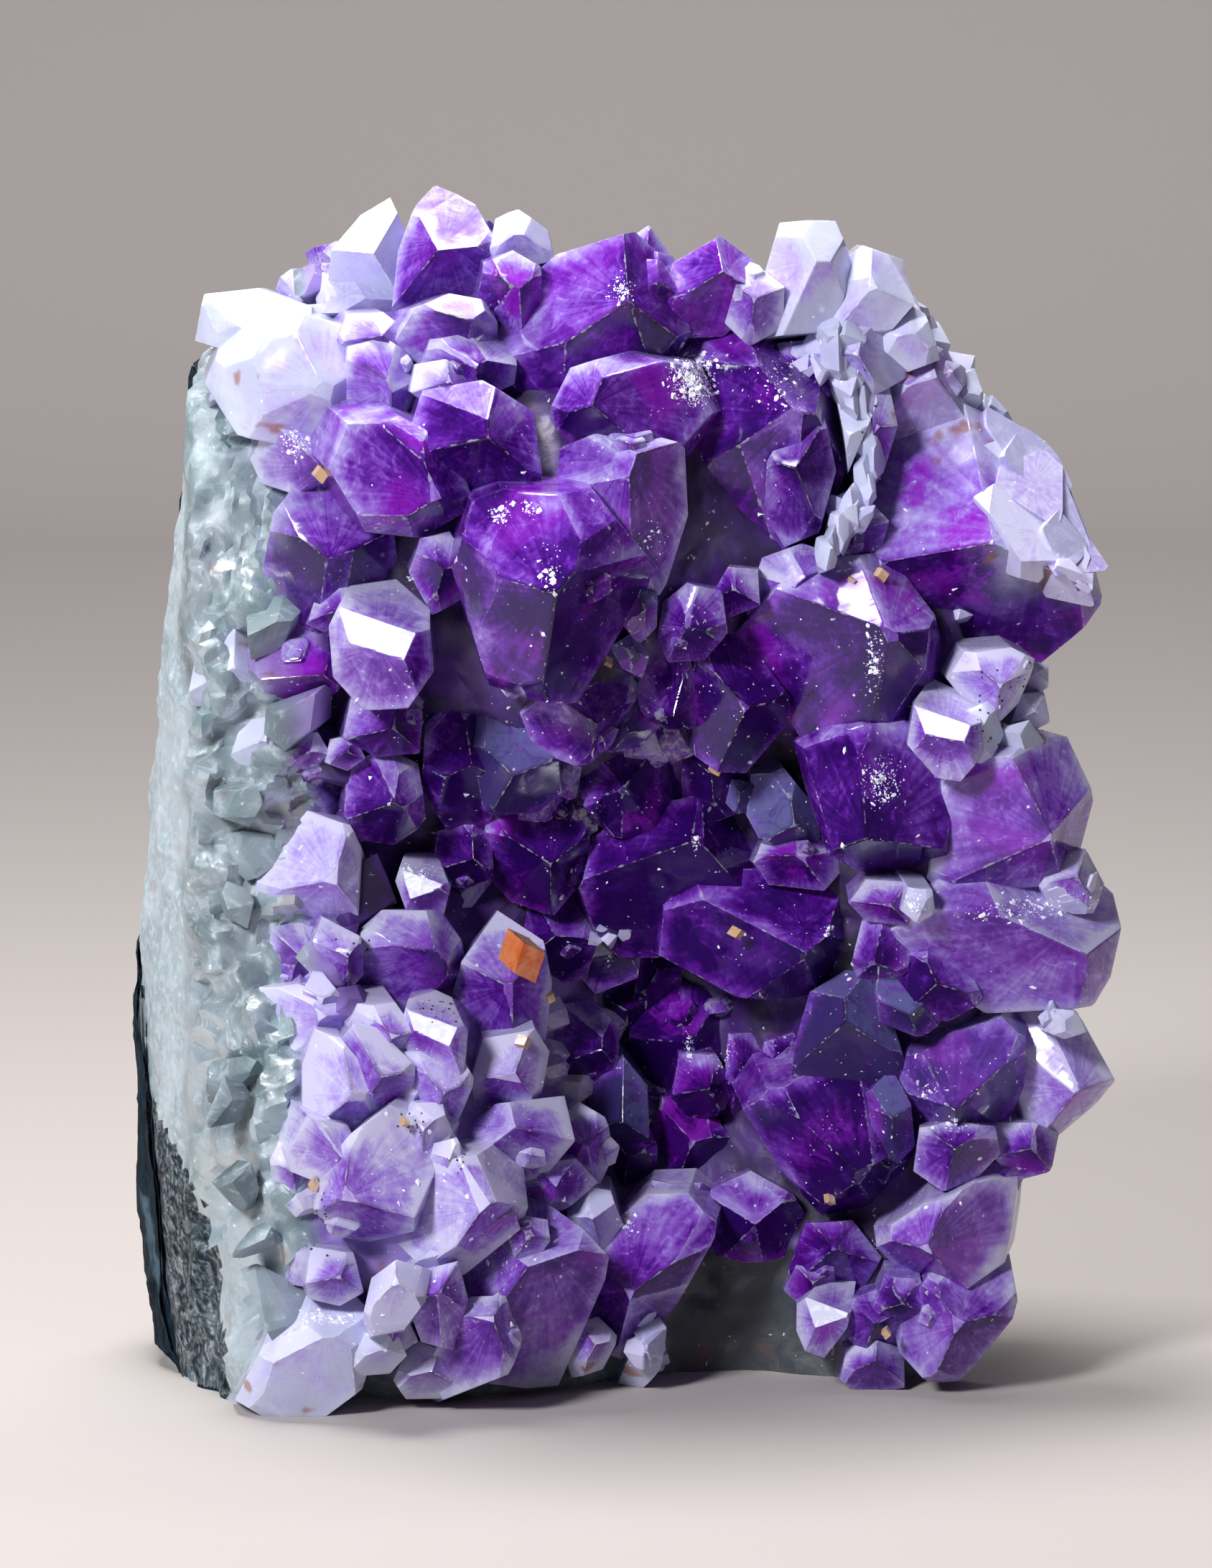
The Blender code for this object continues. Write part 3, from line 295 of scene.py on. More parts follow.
# ---------------------------------------------------------------- measuring
def smooth(a, b, value):
    """Goes from 0 at a to 1 at b, and stays there."""
    t = min(1.0, max(0.0, (value - a) / (b - a)))
    return t * t * (3 - 2 * t)


def bell(x, z, x0, z0, wide, high, power=2):
    return math.exp(-((x - x0) / wide) ** power - ((z - z0) / high) ** power)


def uneven(p):
    """A slow and a quick unevenness, in mm, so that no border runs straight."""
    return 5.0 * noise.noise(p * 0.09) + 2.0 * noise.noise(p * 0.3)


def jitter(rng, amount):
    return Vector([rng.uniform(-amount, amount) for _ in range(3)])


def spray(rng, sigma=1.0):
    return Vector([rng.gauss(0, sigma) for _ in range(3)])


def centre_of(points):
    return sum(points, Vector()) / len(points)


def cross_axes(axis):
    across = axis.orthogonal().normalized()
    return across, axis.cross(across)


def envelope(x, z):
    """How far forward the tips reach here."""
    return TIP_BASE + sum(rise * bell(x, z, x0, z0, wide, high)
                          for x0, z0, wide, high, rise in TIP_BULGES)


def on_envelope(x, z):
    return Vector((x, -envelope(x, z), z))


def sight(x, z):
    """The line from the vantage through this place of the envelope."""
    start = on_envelope(x, z)
    return start, (start - VANTAGE).normalized()


def met(x, z, point, normal):
    """Where that line meets a plane."""
    start, ray = sight(x, z)
    return start + ray * ((point - start).dot(normal) / ray.dot(normal))


def carried(x, z, forward):
    """Where that line is this far forward."""
    start = on_envelope(x, z)
    ray = start - VANTAGE
    return start + ray * ((-forward - start.y) / ray.y)


def seen_point(tree, x, z):
    """The first point of the crystals on that line, and its face's normal."""
    hit, normal, _, _ = tree.ray_cast(VANTAGE * MM, sight(x, z)[1])
    return (hit / MM, normal) if hit is not None else (None, None)


class Spaced:
    """Points kept at least some distance apart."""

    def __init__(self, cell_size):
        self.cell_size, self.cells = cell_size, {}

    def cell(self, point):
        return tuple(int(c // self.cell_size) for c in point)

    def fits(self, point, room):
        i, j, k = self.cell(point)
        near = (q for di in (-1, 0, 1) for dj in (-1, 0, 1) for dk in (-1, 0, 1)
                for q in self.cells.get((i + di, j + dj, k + dk), ()))
        return all((q - point).length >= room for q in near)

    def add(self, point):
        self.cells.setdefault(self.cell(point), []).append(point)


# ---------------------------------------------------------------- the wall's surfaces
WALL_POLAR = sorted(
    (math.atan2(z - WALL_CENTRE[1], x - WALL_CENTRE[0]) % math.tau,
     math.hypot(x - WALL_CENTRE[0], z - WALL_CENTRE[1]))
    for x, z in WALL_EDGE
)


def wall_radius(angle):
    angles, radii = zip(*WALL_POLAR)
    return float(np.interp(angle % math.tau, angles, radii, period=math.tau))


def wall_front(x, z):
    """How far forward the wall is: under the tips, and a slanting flank at the left."""
    cover = TIP_COVER
    cover -= 15 * smooth(-50, -68, x) * smooth(215, 150, z)
    cover -= 6 * smooth(18, 2, z) * smooth(12, -10, x)
    cover -= 3 * smooth(20, 4, z) * smooth(30, 50, x)
    cover += 3 * smooth(30, 0, abs(x - 22)) * smooth(30, 10, z)
    flank = 3 + FLANK_RISE * (x - FLANK_LEFT)
    waves = 0.9 * math.sin(0.31 * x + 0.2 * z) * math.cos(0.23 * z - 0.1 * x)
    return min(envelope(x, z) - cover, flank) + waves


def wall_back(x, z):
    u = (x - WALL_CENTRE[0]) / 84.0
    w = (z - 100.0) / 118.0
    bulge = max(0.0, 1 - u * u - w * w)
    hump = 2.2 * math.sin(0.09 * x + 1.0) + 2.0 * math.sin(0.11 * z + 0.05 * x)
    return WALL_BACK_EDGE + (WALL_BACK - WALL_BACK_EDGE) * bulge + hump


# ---------------------------------------------------------------- meshes, in metres
def cut_with(bm, point, normal):
    """Cuts off what is outside a plane, and closes the cut."""
    geom = bm.verts[:] + bm.edges[:] + bm.faces[:]
    result = bmesh.ops.bisect_plane(
        bm, geom=geom, dist=1e-7, plane_co=point, plane_no=normal, clear_outer=True)
    edges = [e for e in result["geom_cut"] if isinstance(e, bmesh.types.BMEdge)]
    if edges:
        bmesh.ops.edgeloop_fill(bm, edges=edges)


def cut_at_floor(bm):
    if min(vert.co.z for vert in bm.verts) < 0:
        cut_with(bm, Vector(), Vector((0, 0, -1)))


def bevelled(bm, width, segments):
    bmesh.ops.bevel(bm, geom=bm.edges[:], offset=width * MM, segments=segments, profile=0.6,
                    affect="EDGES", clamp_overlap=True)


def round_edges(bm, width):
    bevelled(bm, width, 2)
    bmesh.ops.recalc_face_normals(bm, faces=bm.faces[:])
    bmesh.ops.triangulate(bm, faces=bm.faces[:])


def split_long(bm, longest, passes, allowance=None):
    """Halves edges until they are at most this many mm long, times their allowance."""
    for _ in range(passes):
        long = [e for e in bm.edges
                if e.calc_length() > longest * MM * (allowance(e) if allowance else 1)]
        if not long:
            break
        bmesh.ops.subdivide_edges(bm, edges=long, cuts=1)
        bmesh.ops.triangulate(bm, faces=[f for f in bm.faces if len(f.verts) > 3])


class Piece:
    """Collects parts, with the values that their material reads."""

    def __init__(self, name, sharp=12.0):
        self.name, self.sharp = name, sharp
        self.points, self.faces = [], []
        self.values = {}
        self.count = 0

    def add(self, bm, values=None):
        """Takes in a part's mesh, and frees it."""
        bm.verts.index_update()
        points = np.array([v.co[:] for v in bm.verts])
        self.faces += [[v.index + self.count for v in f.verts] for f in bm.faces]
        bm.free()
        self.points.append(points)
        for key, array in (values(points) if values else {}).items():
            self.values.setdefault(key, []).append(np.broadcast_to(array, (len(points), 3)))
        self.count += len(points)

    def make(self, material, slot="amethyst", replaces="amethyst_druse"):
        mesh = bpy.data.meshes.new(self.name)
        mesh.from_pydata(np.vstack(self.points).tolist(), [], self.faces)
        for key, arrays in self.values.items():
            layer = mesh.attributes.new(key, "FLOAT_VECTOR", "POINT")
            layer.data.foreach_set("vector", np.vstack(arrays).astype(np.float32).ravel())
        mesh.materials.append(material)
        mesh.shade_smooth()
        mesh.set_sharp_from_angle(angle=math.radians(self.sharp))
        obj = bpy.data.objects.new(self.name, mesh)
        bpy.context.scene.collection.objects.link(obj)
        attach(obj, "root")
        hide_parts(replaces)


# ---------------------------------------------------------------- crystals
TIP, PRISM, FOOT, CHIP = range(4)


class Crystal:
    """The planes of one crystal and the frame its colours are laid out in."""

    def __init__(self, tone, apex, axis, rim, height, apothem, foot, planes):
        self.tone, self.apex, self.axis, self.rim = tone, apex, axis, rim
        self.height, self.apothem, self.foot = height, apothem, foot
        self.planes = planes        # (point, outward normal, kind)


def foot_depth(middle, axis):
    """How far a prism has to go back to be rooted in the wall."""
    foot = 0.0
    while foot < MAX_PRISM:
        point = middle - axis * foot
        if -point.y < wall_front(point.x, point.z) - ROOT:
            break
        foot += 1.0
    return foot


def side_planes(rim, middle, axis):
    planes = []
    for k, a in enumerate(rim):
        b = rim[(k + 1) % len(rim)]
        side = axis.cross(b - a).normalized()
        if side.dot(a - middle) < 0:
            side.negate()
        planes.append((a, side, PRISM))
    return planes


def tip_planes(apex, axis, rim, spokes, rng, fall=RIDGE_FALL):
    """The tip: a face between each pair of ridges that run from the apex to these
    corners of the rim, and a small face that cuts each ridge short."""
    across, up = cross_axes(axis)
    ridges = []
    for corner in spokes:
        out = rim[corner] - apex
        out -= axis * out.dot(axis)
        ridges.append((math.atan2(out.dot(up), out.dot(across)), out.length))
    ridges.sort()
    planes = []
    for k, (turn, _) in enumerate(ridges):
        gap = (ridges[(k + 1) % len(ridges)][0] - turn) % math.tau
        steepness = fall * rng.uniform(0.85, 1.15) / max(MAX_SLOPE_COSINE, math.cos(gap / 2))
        facing = turn + gap / 2
        out = across * math.cos(facing) + up * math.sin(facing)
        planes.append((apex, (out * min(PYRAMID_RISE, steepness) + axis).normalized(), TIP))
    for turn, length in ridges:
        share = rng.uniform(0.5, 1.25)
        out = across * math.cos(turn) + up * math.sin(turn)
        face = (out * PYRAMID_RISE * 0.9 + axis).normalized()
        if share < 1:
            planes.append((apex + (out - axis * fall) * length * share, face, TIP))
    return planes


def pick_spokes(apex, axis, rim):
    """Three or four corners of the rim, spread as evenly as they lie."""
    across, up = cross_axes(axis)
    angles = []
    for corner in rim:
        out = corner - apex
        angles.append(math.atan2(out.dot(up), out.dot(across)))
    best = None
    for trio in combinations(range(len(rim)), 3):
        turns = sorted((angles[c] % math.tau, c) for c in trio)
        gaps = [(turns[(n + 1) % 3][0] - turns[n][0]) % math.tau for n in range(3)]
        if best is None or max(gaps) < best[0]:
            best = (max(gaps), [c for _, c in turns], gaps)
    widest, chosen, gaps = best
    if widest > WIDE_GAP:
        low = angles[chosen[gaps.index(widest)]] % math.tau
        inside = [(abs((angles[c] - low) % math.tau - widest / 2), c) for c in range(len(rim))
                  if c not in chosen and 0 < (angles[c] - low) % math.tau < widest]
        if inside:
            chosen = chosen + [min(inside)[1]]
    return chosen


def spread_out(outline, apex_x, apex_z):
    """The outline made wider about its middle, so that neighbours meet."""
    cx, cz = (sum(values) / len(outline) for values in zip(*outline))
    wider = SPREAD + LOW_LEFT_SPREAD * smooth(10, -5, apex_x) * smooth(100, 85, apex_z)
    return [(cx + (x - cx) * wider, cz + (z - cz) * wider) for x, z in outline]


def from_outline(tone, extra, apex_xz, outline, spokes, rng):
    """A crystal whose head has this outline from the front."""
    ax, az = apex_xz
    outline = spread_out(outline, ax, az)
    forward = envelope(ax, az) + extra
    apex = carried(ax, az, forward)
    heads = [carried(x, z, forward) for x, z in outline]
    centre = centre_of(heads)
    apothem = 0.0
    for a, b in zip(heads, heads[1:] + heads[:1]):
        apothem += (b - a).cross(centre - a).length / (b - a).length / len(heads)
    if tone == "S":
        return mirror_headed(tone, apex, outline, apothem, rng)
    height = PYRAMID_RISE * apothem
    lean = (apex - centre) * LEAN
    lean.y = 0
    if lean.length > MAX_LEAN * height:
        lean *= MAX_LEAN * height / lean.length
    axis = Vector((lean.x, -math.sqrt(height ** 2 - lean.length_squared), lean.z)).normalized()
    rim = [met(x, z, apex - axis * height * RIM_DEPTH, axis) for x, z in outline]
    middle = centre_of(rim)
    foot = foot_depth(middle, axis)
    planes = side_planes(rim, middle, axis)
    fall = RIDGE_FALL * (MILKY_FALL if tone == "W" else 1)
    planes += tip_planes(apex, axis, rim, spokes or pick_spokes(apex, axis, rim), rng, fall)
    planes.append((middle - axis * foot, -axis, FOOT))
    return Crystal(tone, apex, axis, rim, height, apothem, foot, planes)


def mirror_headed(tone, apex, outline, apothem, rng):
    """A crystal with a broad mirror facet, steeper facets all round it."""
    normal = (MIRROR_NORMAL + jitter(rng, 0.02)).normalized()
    head = [met(x, z, apex, normal) for x, z in outline]
    axis = (Vector((0, -0.9, 0)) + normal * 0.1).normalized()
    middle = centre_of(head)
    foot = foot_depth(middle, axis) + apothem
    planes = side_planes(head, middle, axis)
    planes.append((apex, normal, TIP))
    below = Vector((rng.uniform(-0.4, 0.4), -0.8, rng.uniform(-0.5, -0.25)))
    above, left, right = Vector((0.2, -0.3, 0.9)), Vector((-0.8, -0.6, 0.15)), Vector((0.75, -0.65, 0.1))
    for out, x, z in ((below, 0, -0.15), (above, 0, 0.34), (left, -0.45, 0), (right, 0.55, 0)):
        planes.append((middle + Vector((x, 0, z)) * apothem, out.normalized(), TIP))
    planes.append((middle - axis * foot, -axis, FOOT))
    return Crystal(tone, middle + axis * apothem, axis, head, apothem, apothem, foot, planes)


def parallel_growth(parent, rng):
    """A smaller crystal of the same turn that stands a little proud of a big one."""
    corner = rng.choice(parent.rim)
    out = corner - parent.apex
    out -= parent.axis * out.dot(parent.axis)
    share = rng.uniform(0.3, 0.7)
    fall = RIDGE_FALL + rng.uniform(0.05, 0.4)
    apex = parent.apex + out * share - parent.axis * out.length * share * fall
    apex += parent.axis * rng.uniform(0.4, 1.2)
    radius = parent.apothem * rng.uniform(0.2, 0.42)
    across = out.normalized()
    up = parent.axis.cross(across)
    rim = []
    for k in range(6):
        angle = math.tau * (k + 0.5) / 6 + rng.uniform(-0.2, 0.2)
        reach = radius * rng.uniform(0.9, 1.3)
        rim.append(apex - parent.axis * (PYRAMID_RISE * radius)
                   + across * reach * math.cos(angle) + up * reach * math.sin(angle))
    middle = centre_of(rim)
    planes = side_planes(rim, middle, parent.axis)
    planes += [(apex, normal, kind) for _, normal, kind in parent.planes if kind == TIP]
    planes.append((middle - parent.axis * parent.apothem, -parent.axis, FOOT))
    return Crystal(parent.tone, parent.apex, parent.axis, rim, parent.height, parent.apothem,
                   parent.apothem, planes)


def chips(crystal, rng):
    """Small facets that take corners off the head."""
    cut = []
    middle = centre_of(crystal.rim)
    tips = [kind for _, _, kind in crystal.planes if kind == TIP]
    for corner in crystal.rim:
        if rng.random() < 0.3:
            out = (corner - middle).normalized()
            tilt = rng.uniform(0.35, 1.1)
            spin = crystal.axis.cross(out) * rng.uniform(-0.35, 0.35)
            normal = (out + crystal.axis * tilt + spin).normalized()
            depth = crystal.apothem * rng.uniform(0.04, 0.14)
            cut.append((corner - normal * depth, normal, CHIP))
    if len(tips) > 2 and rng.random() < 0.5:
        normal = (crystal.axis + jitter(rng, 0.5)).normalized()
        cut.append((crystal.apex - normal * crystal.apothem * rng.uniform(0.03, 0.1), normal, CHIP))
    return cut


def hexagonal(base, axis, radius, prism, rng):
    """A small six-sided crystal standing on base."""
    across = axis.orthogonal().normalized()
    across.rotate(Matrix.Rotation(rng.uniform(0, math.tau), 3, axis))
    up = axis.cross(across)
    middle = base + axis * prism
    turn = rng.uniform(0, 1)
    rim = []
    for k in range(6):
        angle = math.tau * (k + turn) / 6 + rng.uniform(-0.16, 0.16)
        r = radius * rng.uniform(0.85, 1.15)
        rim.append(middle + across * r * math.cos(angle) + up * r * math.sin(angle))
    apothem = radius * 0.9
    height = PYRAMID_RISE * apothem
    apex = middle + axis * height + across * rng.uniform(-0.2, 0.2) * radius
    planes = side_planes(rim, middle, axis)
    planes += tip_planes(apex, axis, rim, rng.choice(((0, 2, 4), (1, 3, 5), (0, 2, 3, 5))), rng)
    foot = prism + 3.0
    planes.append((middle - axis * foot, -axis, FOOT))
    return Crystal("D", apex, axis, rim, height, apothem, foot, planes)


def solid(crystal, edge, grain=None):
    """The crystal's closed mesh in a bmesh, edges rounded by edge mm and faces split
    down to about grain mm, less finely below the head."""
    bm = bmesh.new()
    reach = 4 * (crystal.height + crystal.foot + crystal.apothem)
    bmesh.ops.create_cube(bm, size=reach * MM)
    bmesh.ops.translate(bm, verts=bm.verts[:], vec=centre_of(crystal.rim) * MM)
    for point, normal, _ in crystal.planes:
        cut_with(bm, point * MM, normal)
    cut_at_floor(bm)
    bmesh.ops.remove_doubles(bm, verts=bm.verts[:], dist=WELD * MM)
    bmesh.ops.dissolve_degenerate(bm, edges=bm.edges[:], dist=WELD * MM)
    round_edges(bm, edge)

    def allowance(e):
        middle = (e.verts[0].co + e.verts[1].co) / (2 * MM)
        below = (crystal.apex - middle).dot(crystal.axis) - crystal.height
        return 1 + COARSENING * max(0.0, below)

    if grain:
        split_long(bm, grain, 4, allowance)
    return bm


def lump(centre, radius, rng, edge=0.1, shape=(1.0, 1.0, 1.0), cuts=13):
    """A broken block of massive quartz, its edges rounded by a share of its radius."""
    bm = bmesh.new()
    bmesh.ops.create_cube(bm, size=3 * radius * MM)
    turn = Matrix.Rotation(rng.uniform(0, math.tau), 4, spray(rng))
    bmesh.ops.transform(bm, matrix=turn, verts=bm.verts[:])
    for _ in range(cuts):
        normal = spray(rng).normalized()
        cut_with(bm, normal * radius * rng.uniform(0.62, 1.0) * MM, normal)
    bmesh.ops.scale(bm, verts=bm.verts[:], vec=shape)
    bmesh.ops.translate(bm, verts=bm.verts[:], vec=centre * MM)
    cut_at_floor(bm)
    bmesh.ops.remove_doubles(bm, verts=bm.verts[:], dist=WELD * MM)
    round_edges(bm, edge * radius)
    return bm


# ---------------------------------------------------------------- values along the crystals
def light_and_shade_zoning(p):
    """How much denser the violet is painted here: denser in the hollow and valleys as painted shade,
    thinner at the lower left as painted light, a little thinner at the right.
    """
    right = smooth(48, 66, p.x) * smooth(30, 60, p.z)
    return sum(amount * bell(p.x, p.z, *zone) for *zone, amount in LIGHT_AND_SHADE_ZONES) - RIGHT_THINNING * right


def fading(p):
    """How far the violet has faded into the wall's milky quartz at point p."""
    x, y, z = p
    off = uneven(Vector(p))
    left = smooth(-62, -76, x + off) * smooth(-70, -48, y)
    foot = 0.5 * smooth(12, 1, z + off) * smooth(10, -5, x)
    shell = 0.8 * smooth(70, 77, x + off) * smooth(150, 162, z - off)
    top = 0.45 * smooth(46, 60, x) * smooth(178, 188, z + off)
    return max(left, foot, shell, top)


def facet_light_and_tone(crystal, seed, k):
    """How pale facet k is, from 0 to 1: paler facing up and deeper facing down, as painted light and
    shade, over a random tone; 1 is a mirror.
    """
    _, normal, kind = crystal.planes[k]
    if crystal.tone == "S" and kind == TIP and normal.dot(MIRROR_NORMAL) > 0.99:
        return 1.0
    tone = 0.42 + 0.42 * normal.z + 0.5 * (random.Random(f"{seed}{k}").random() - 0.5)
    return min(0.9, max(0.0, tone))


def crystal_values(crystal, tone, seed):
    """Values along a crystal: where each point lies in its frame, how far it is
    from the rim, from the tip's own edges and from any edge, and its tint."""
    density, pale, milk, grey, polish = TONES[tone]
    density += light_and_shade_zoning(crystal.apex) * (1 - milk)
    hue = random.Random(f"hue{seed}").random()
    across, up = cross_axes(crystal.axis)
    turned = np.array([across, up, crystal.axis]).T
    apex = np.array(crystal.apex)
    origins, normals, kinds = (np.array(column) for column in zip(*crystal.planes))
    light_and_tones = np.array([facet_light_and_tone(crystal, seed, k) for k in range(len(kinds))])
    sines = np.sqrt(np.clip(1 - (normals @ normals.T) ** 2, 0.02, 1))
    far = 1e3

    def values(points):
        points = points / MM
        everywhere = np.ones(len(points))
        local = (points - apex) @ turned
        local[:, 2] *= -1 / crystal.height
        local[:, :2] /= crystal.apothem
        depth = (origins * normals).sum(1)[None] - points @ normals.T
        face = depth.argmin(1)
        along = np.abs(depth) / sines[face]
        along[np.arange(len(points)), face] = far
        on_tip = kinds[face][:, None] == TIP
        rim = np.where(np.where(on_tip, kinds[None] == PRISM, kinds[None] == TIP), along, far).min(1)
        spoke = np.where(on_tip & (kinds[None] == TIP), along, far).min(1)
        fade = np.array([fading(p) for p in points])
        return {
            "local": local,
            "zone": np.stack([rim, spoke, along.min(1)], 1).clip(0, 50),
            "tint": np.array((density, pale, milk)),
            "extra": np.stack([grey * everywhere, seed * everywhere, light_and_tones[face]], 1),
            "finish": np.stack([polish * everywhere, hue * everywhere, fade], 1),
        }

    return values


def block_values(centre, radius, milk, rng):
    """The same values for a block without facets of its own."""
    seed, tone = rng.random(), rng.uniform(0.3, 0.8)

    def values(points):
        local = (points / MM - np.array(centre)) / radius
        local[:, 2] = 1.2
        return {"local": local, "zone": np.full(3, 9.0), "tint": np.array((0.2, 0.5, milk)),
                "extra": np.array((0.0, seed, tone)), "finish": np.array((0.1, seed, 0.0))}

    return values


# ---------------------------------------------------------------- materials
class Shader:
    """A material's node tree, written as expressions."""

    def __init__(self, name):
        self.material = bpy.data.materials.new(name)
        self.material.use_nodes = True
        self.tree = self.material.node_tree
        self.surface = self.tree.nodes["Principled BSDF"]

    def node(self, kind, values=(), **settings):
        made = self.tree.nodes.new("ShaderNode" + kind)
        for key, value in settings.items():
            setattr(made, key, value)
        for key, value in dict(values).items():
            self.put(made.inputs[key], value)
        return made

    def put(self, socket, value):
        if isinstance(value, bpy.types.NodeSocket):
            self.tree.links.new(value, socket)
        else:
            socket.default_value = value

    def set(self, name, value):
        self.put(self.surface.inputs[name], value)

    def attribute(self, name):
        """A vector attribute, and its three parts."""
        vector = self.node("Attribute", attribute_name=name).outputs["Vector"]
        return vector, *self.node("SeparateXYZ", {"Vector": vector}).outputs

    def place(self):
        return self.node("TexCoord").outputs["Object"]

    def calc(self, operation, a, b=0.0, c=0.0, clamp=False):
        made = self.node("Math", operation=operation, use_clamp=clamp)
        for socket, value in zip(made.inputs, (a, b, c)):
            self.put(socket, value)
        return made.outputs[0]

    def mul(self, a, b):
        return self.calc("MULTIPLY", a, b)

    def add(self, a, b):
        return self.calc("ADD", a, b)

    def line(self, value, slope, start=0.0, clamp=False):
        return self.calc("MULTIPLY_ADD", value, slope, start, clamp)

    def swing(self, value, amount):
        """From -amount / 2 to amount / 2 as the value goes from 0 to 1."""
        return self.line(value, amount, -amount / 2)

    def around(self, value, middle, near, far):
        """1 where the value lies within near of the middle, and 0 beyond far of it."""
        return self.ease(self.calc("ABSOLUTE", self.calc("SUBTRACT", value, middle)), far, near)

    def ease(self, value, low, high, to_low=0.0, to_high=1.0):
        made = self.node("MapRange", {"Value": value, "From Min": low, "From Max": high,
                                      "To Min": to_low, "To Max": to_high},
                         interpolation_type="SMOOTHSTEP")
        return made.outputs["Result"]

    def noise(self, vector, scale, detail=3.0, roughness=0.5, distortion=0.0):
        made = self.node("TexNoise", {"Vector": vector, "Scale": scale, "Detail": detail,
                                      "Roughness": roughness, "Distortion": distortion})
        return made.outputs["Fac"]

    def mix(self, factor, a, b):
        made = self.node("Mix", data_type="RGBA")
        sockets = [s for s in made.inputs if s.enabled]
        for socket, value in zip(sockets, (factor, a, b)):
            self.put(socket, value)
        return next(s for s in made.outputs if s.enabled)

    def ramp(self, factor, stops):
        made = self.node("ValToRGB", {"Fac": factor})
        while len(made.color_ramp.elements) < len(stops):
            made.color_ramp.elements.new(0.5)
        for element, (position, colour) in zip(made.color_ramp.elements, stops):
            element.position, element.color = position, colour
        return made.outputs["Color"]

    def vector(self, x=0.0, y=0.0, z=0.0):
        return self.node("CombineXYZ", {"X": x, "Y": y, "Z": z}).outputs[0]

    def vectors(self, operation, a, b=(0.0, 0.0, 0.0)):
        return self.node("VectorMath", {0: a, 1: b}, operation=operation).outputs[0]

    def bump(self, height, strength, distance):
        values = {"Height": height, "Strength": strength, "Distance": distance}
        self.set("Normal", self.node("Bump", values).outputs["Normal"])


def rgb(r, g, b):
    """A linear colour from its sRGB values out of 255."""
    return (*(((c / 255 + 0.055) / 1.055) ** 2.4 if c > 10 else c / 255 / 12.92
              for c in (r, g, b)), 1.0)


# Violet from clear to deepest, by density: position, colour.
DENSITIES = (
    (0.00, rgb(206, 202, 236)), (0.16, rgb(188, 176, 230)), (0.34, rgb(168, 142, 228)),
    (0.52, rgb(150, 98, 216)), (0.68, rgb(114, 48, 182)), (0.84, rgb(76, 18, 136)),
    (1.00, rgb(48, 8, 102)),
)
MAGENTA = rgb(168, 30, 216)
WHITE = rgb(240, 243, 252)
# Blue-grey of smoky facets: partly their own grey, partly a painted sheen of dim reflected light.
SMOKE_AND_SHEEN = rgb(112, 116, 176)
BLACK = rgb(12, 2, 26)
MILK = rgb(208, 214, 240)
RUST = rgb(150, 92, 60)
QUARTZ_IOR = 1.544
CALCITE_IOR = 1.6
TRANSMISSION = 0.42


def amethyst():
    s = Shader("amethyst")
    f = violet_fields(s)
    dense = violet_density(s, f)
    smoke_and_sheen, mirror = violet_windows(s, f)
    s.set("Base Color", violet_marks(s, f, violet_body(s, f, dense, smoke_and_sheen, mirror)))
    violet_relief(s, f)
    gloss = s.add(s.ease(f.cloud, 0.35, 0.65, 0.05, 0.16), s.mul(smoke_and_sheen, 0.12))
    s.set("Roughness", s.mul(gloss, s.line(mirror, -0.6, 1.0)))
    s.set("IOR", QUARTZ_IOR)
    s.set("Specular IOR Level", 0.4)
    clear = s.ease(dense, 0.1, 0.6, 0.65 * TRANSMISSION, TRANSMISSION)
    clear = s.line(f.milk, -0.4, clear, clamp=True)
    s.set("Transmission Weight", TRANSMISSION)
    s.set("Transmission Weight", s.mul(clear, s.line(mirror, -0.8, 1.0)))
    return s.material


def violet_fields(s):
    """What the violet is made from: the crystals' own values, and noise inside them."""
    f = SimpleNamespace()
    f.place = s.place()
    f.local, f.across, _, f.depth = s.attribute("local")
    _, f.rim, f.spoke, f.edge = s.attribute("zone")
    _, f.density, f.pale, f.milk = s.attribute("tint")
    _, f.grey, f.seed, f.facet = s.attribute("extra")
    _, f.polish, f.hue, f.fade = s.attribute("finish")
    offset = s.vectors("MULTIPLY", s.vector(f.seed, f.seed, f.seed), (7.1, 3.3, 5.7))
    f.own = s.vectors("ADD", f.place, offset)
    f.cloud = s.noise(f.own, 95, 2, 0.55)
    f.wisp = s.noise(f.own, 240, 2, 0.65, 1.6)
    f.grain = s.noise(f.own, 700, 1, 0.65)
    # streaks that run from the apex down the faces
    radial = s.vectors("NORMALIZE", s.vectors("MULTIPLY", f.local, (1.0, 1.0, 0.0)))
    shift = s.vector(f.seed, s.mul(f.seed, 9.0), s.mul(f.depth, 0.7))
    ray = s.vectors("ADD", s.vectors("MULTIPLY", radial, (7.0, 7.0, 0.0)), shift)
    f.streak = s.noise(ray, 1.6, 1, 0.6)
    return f


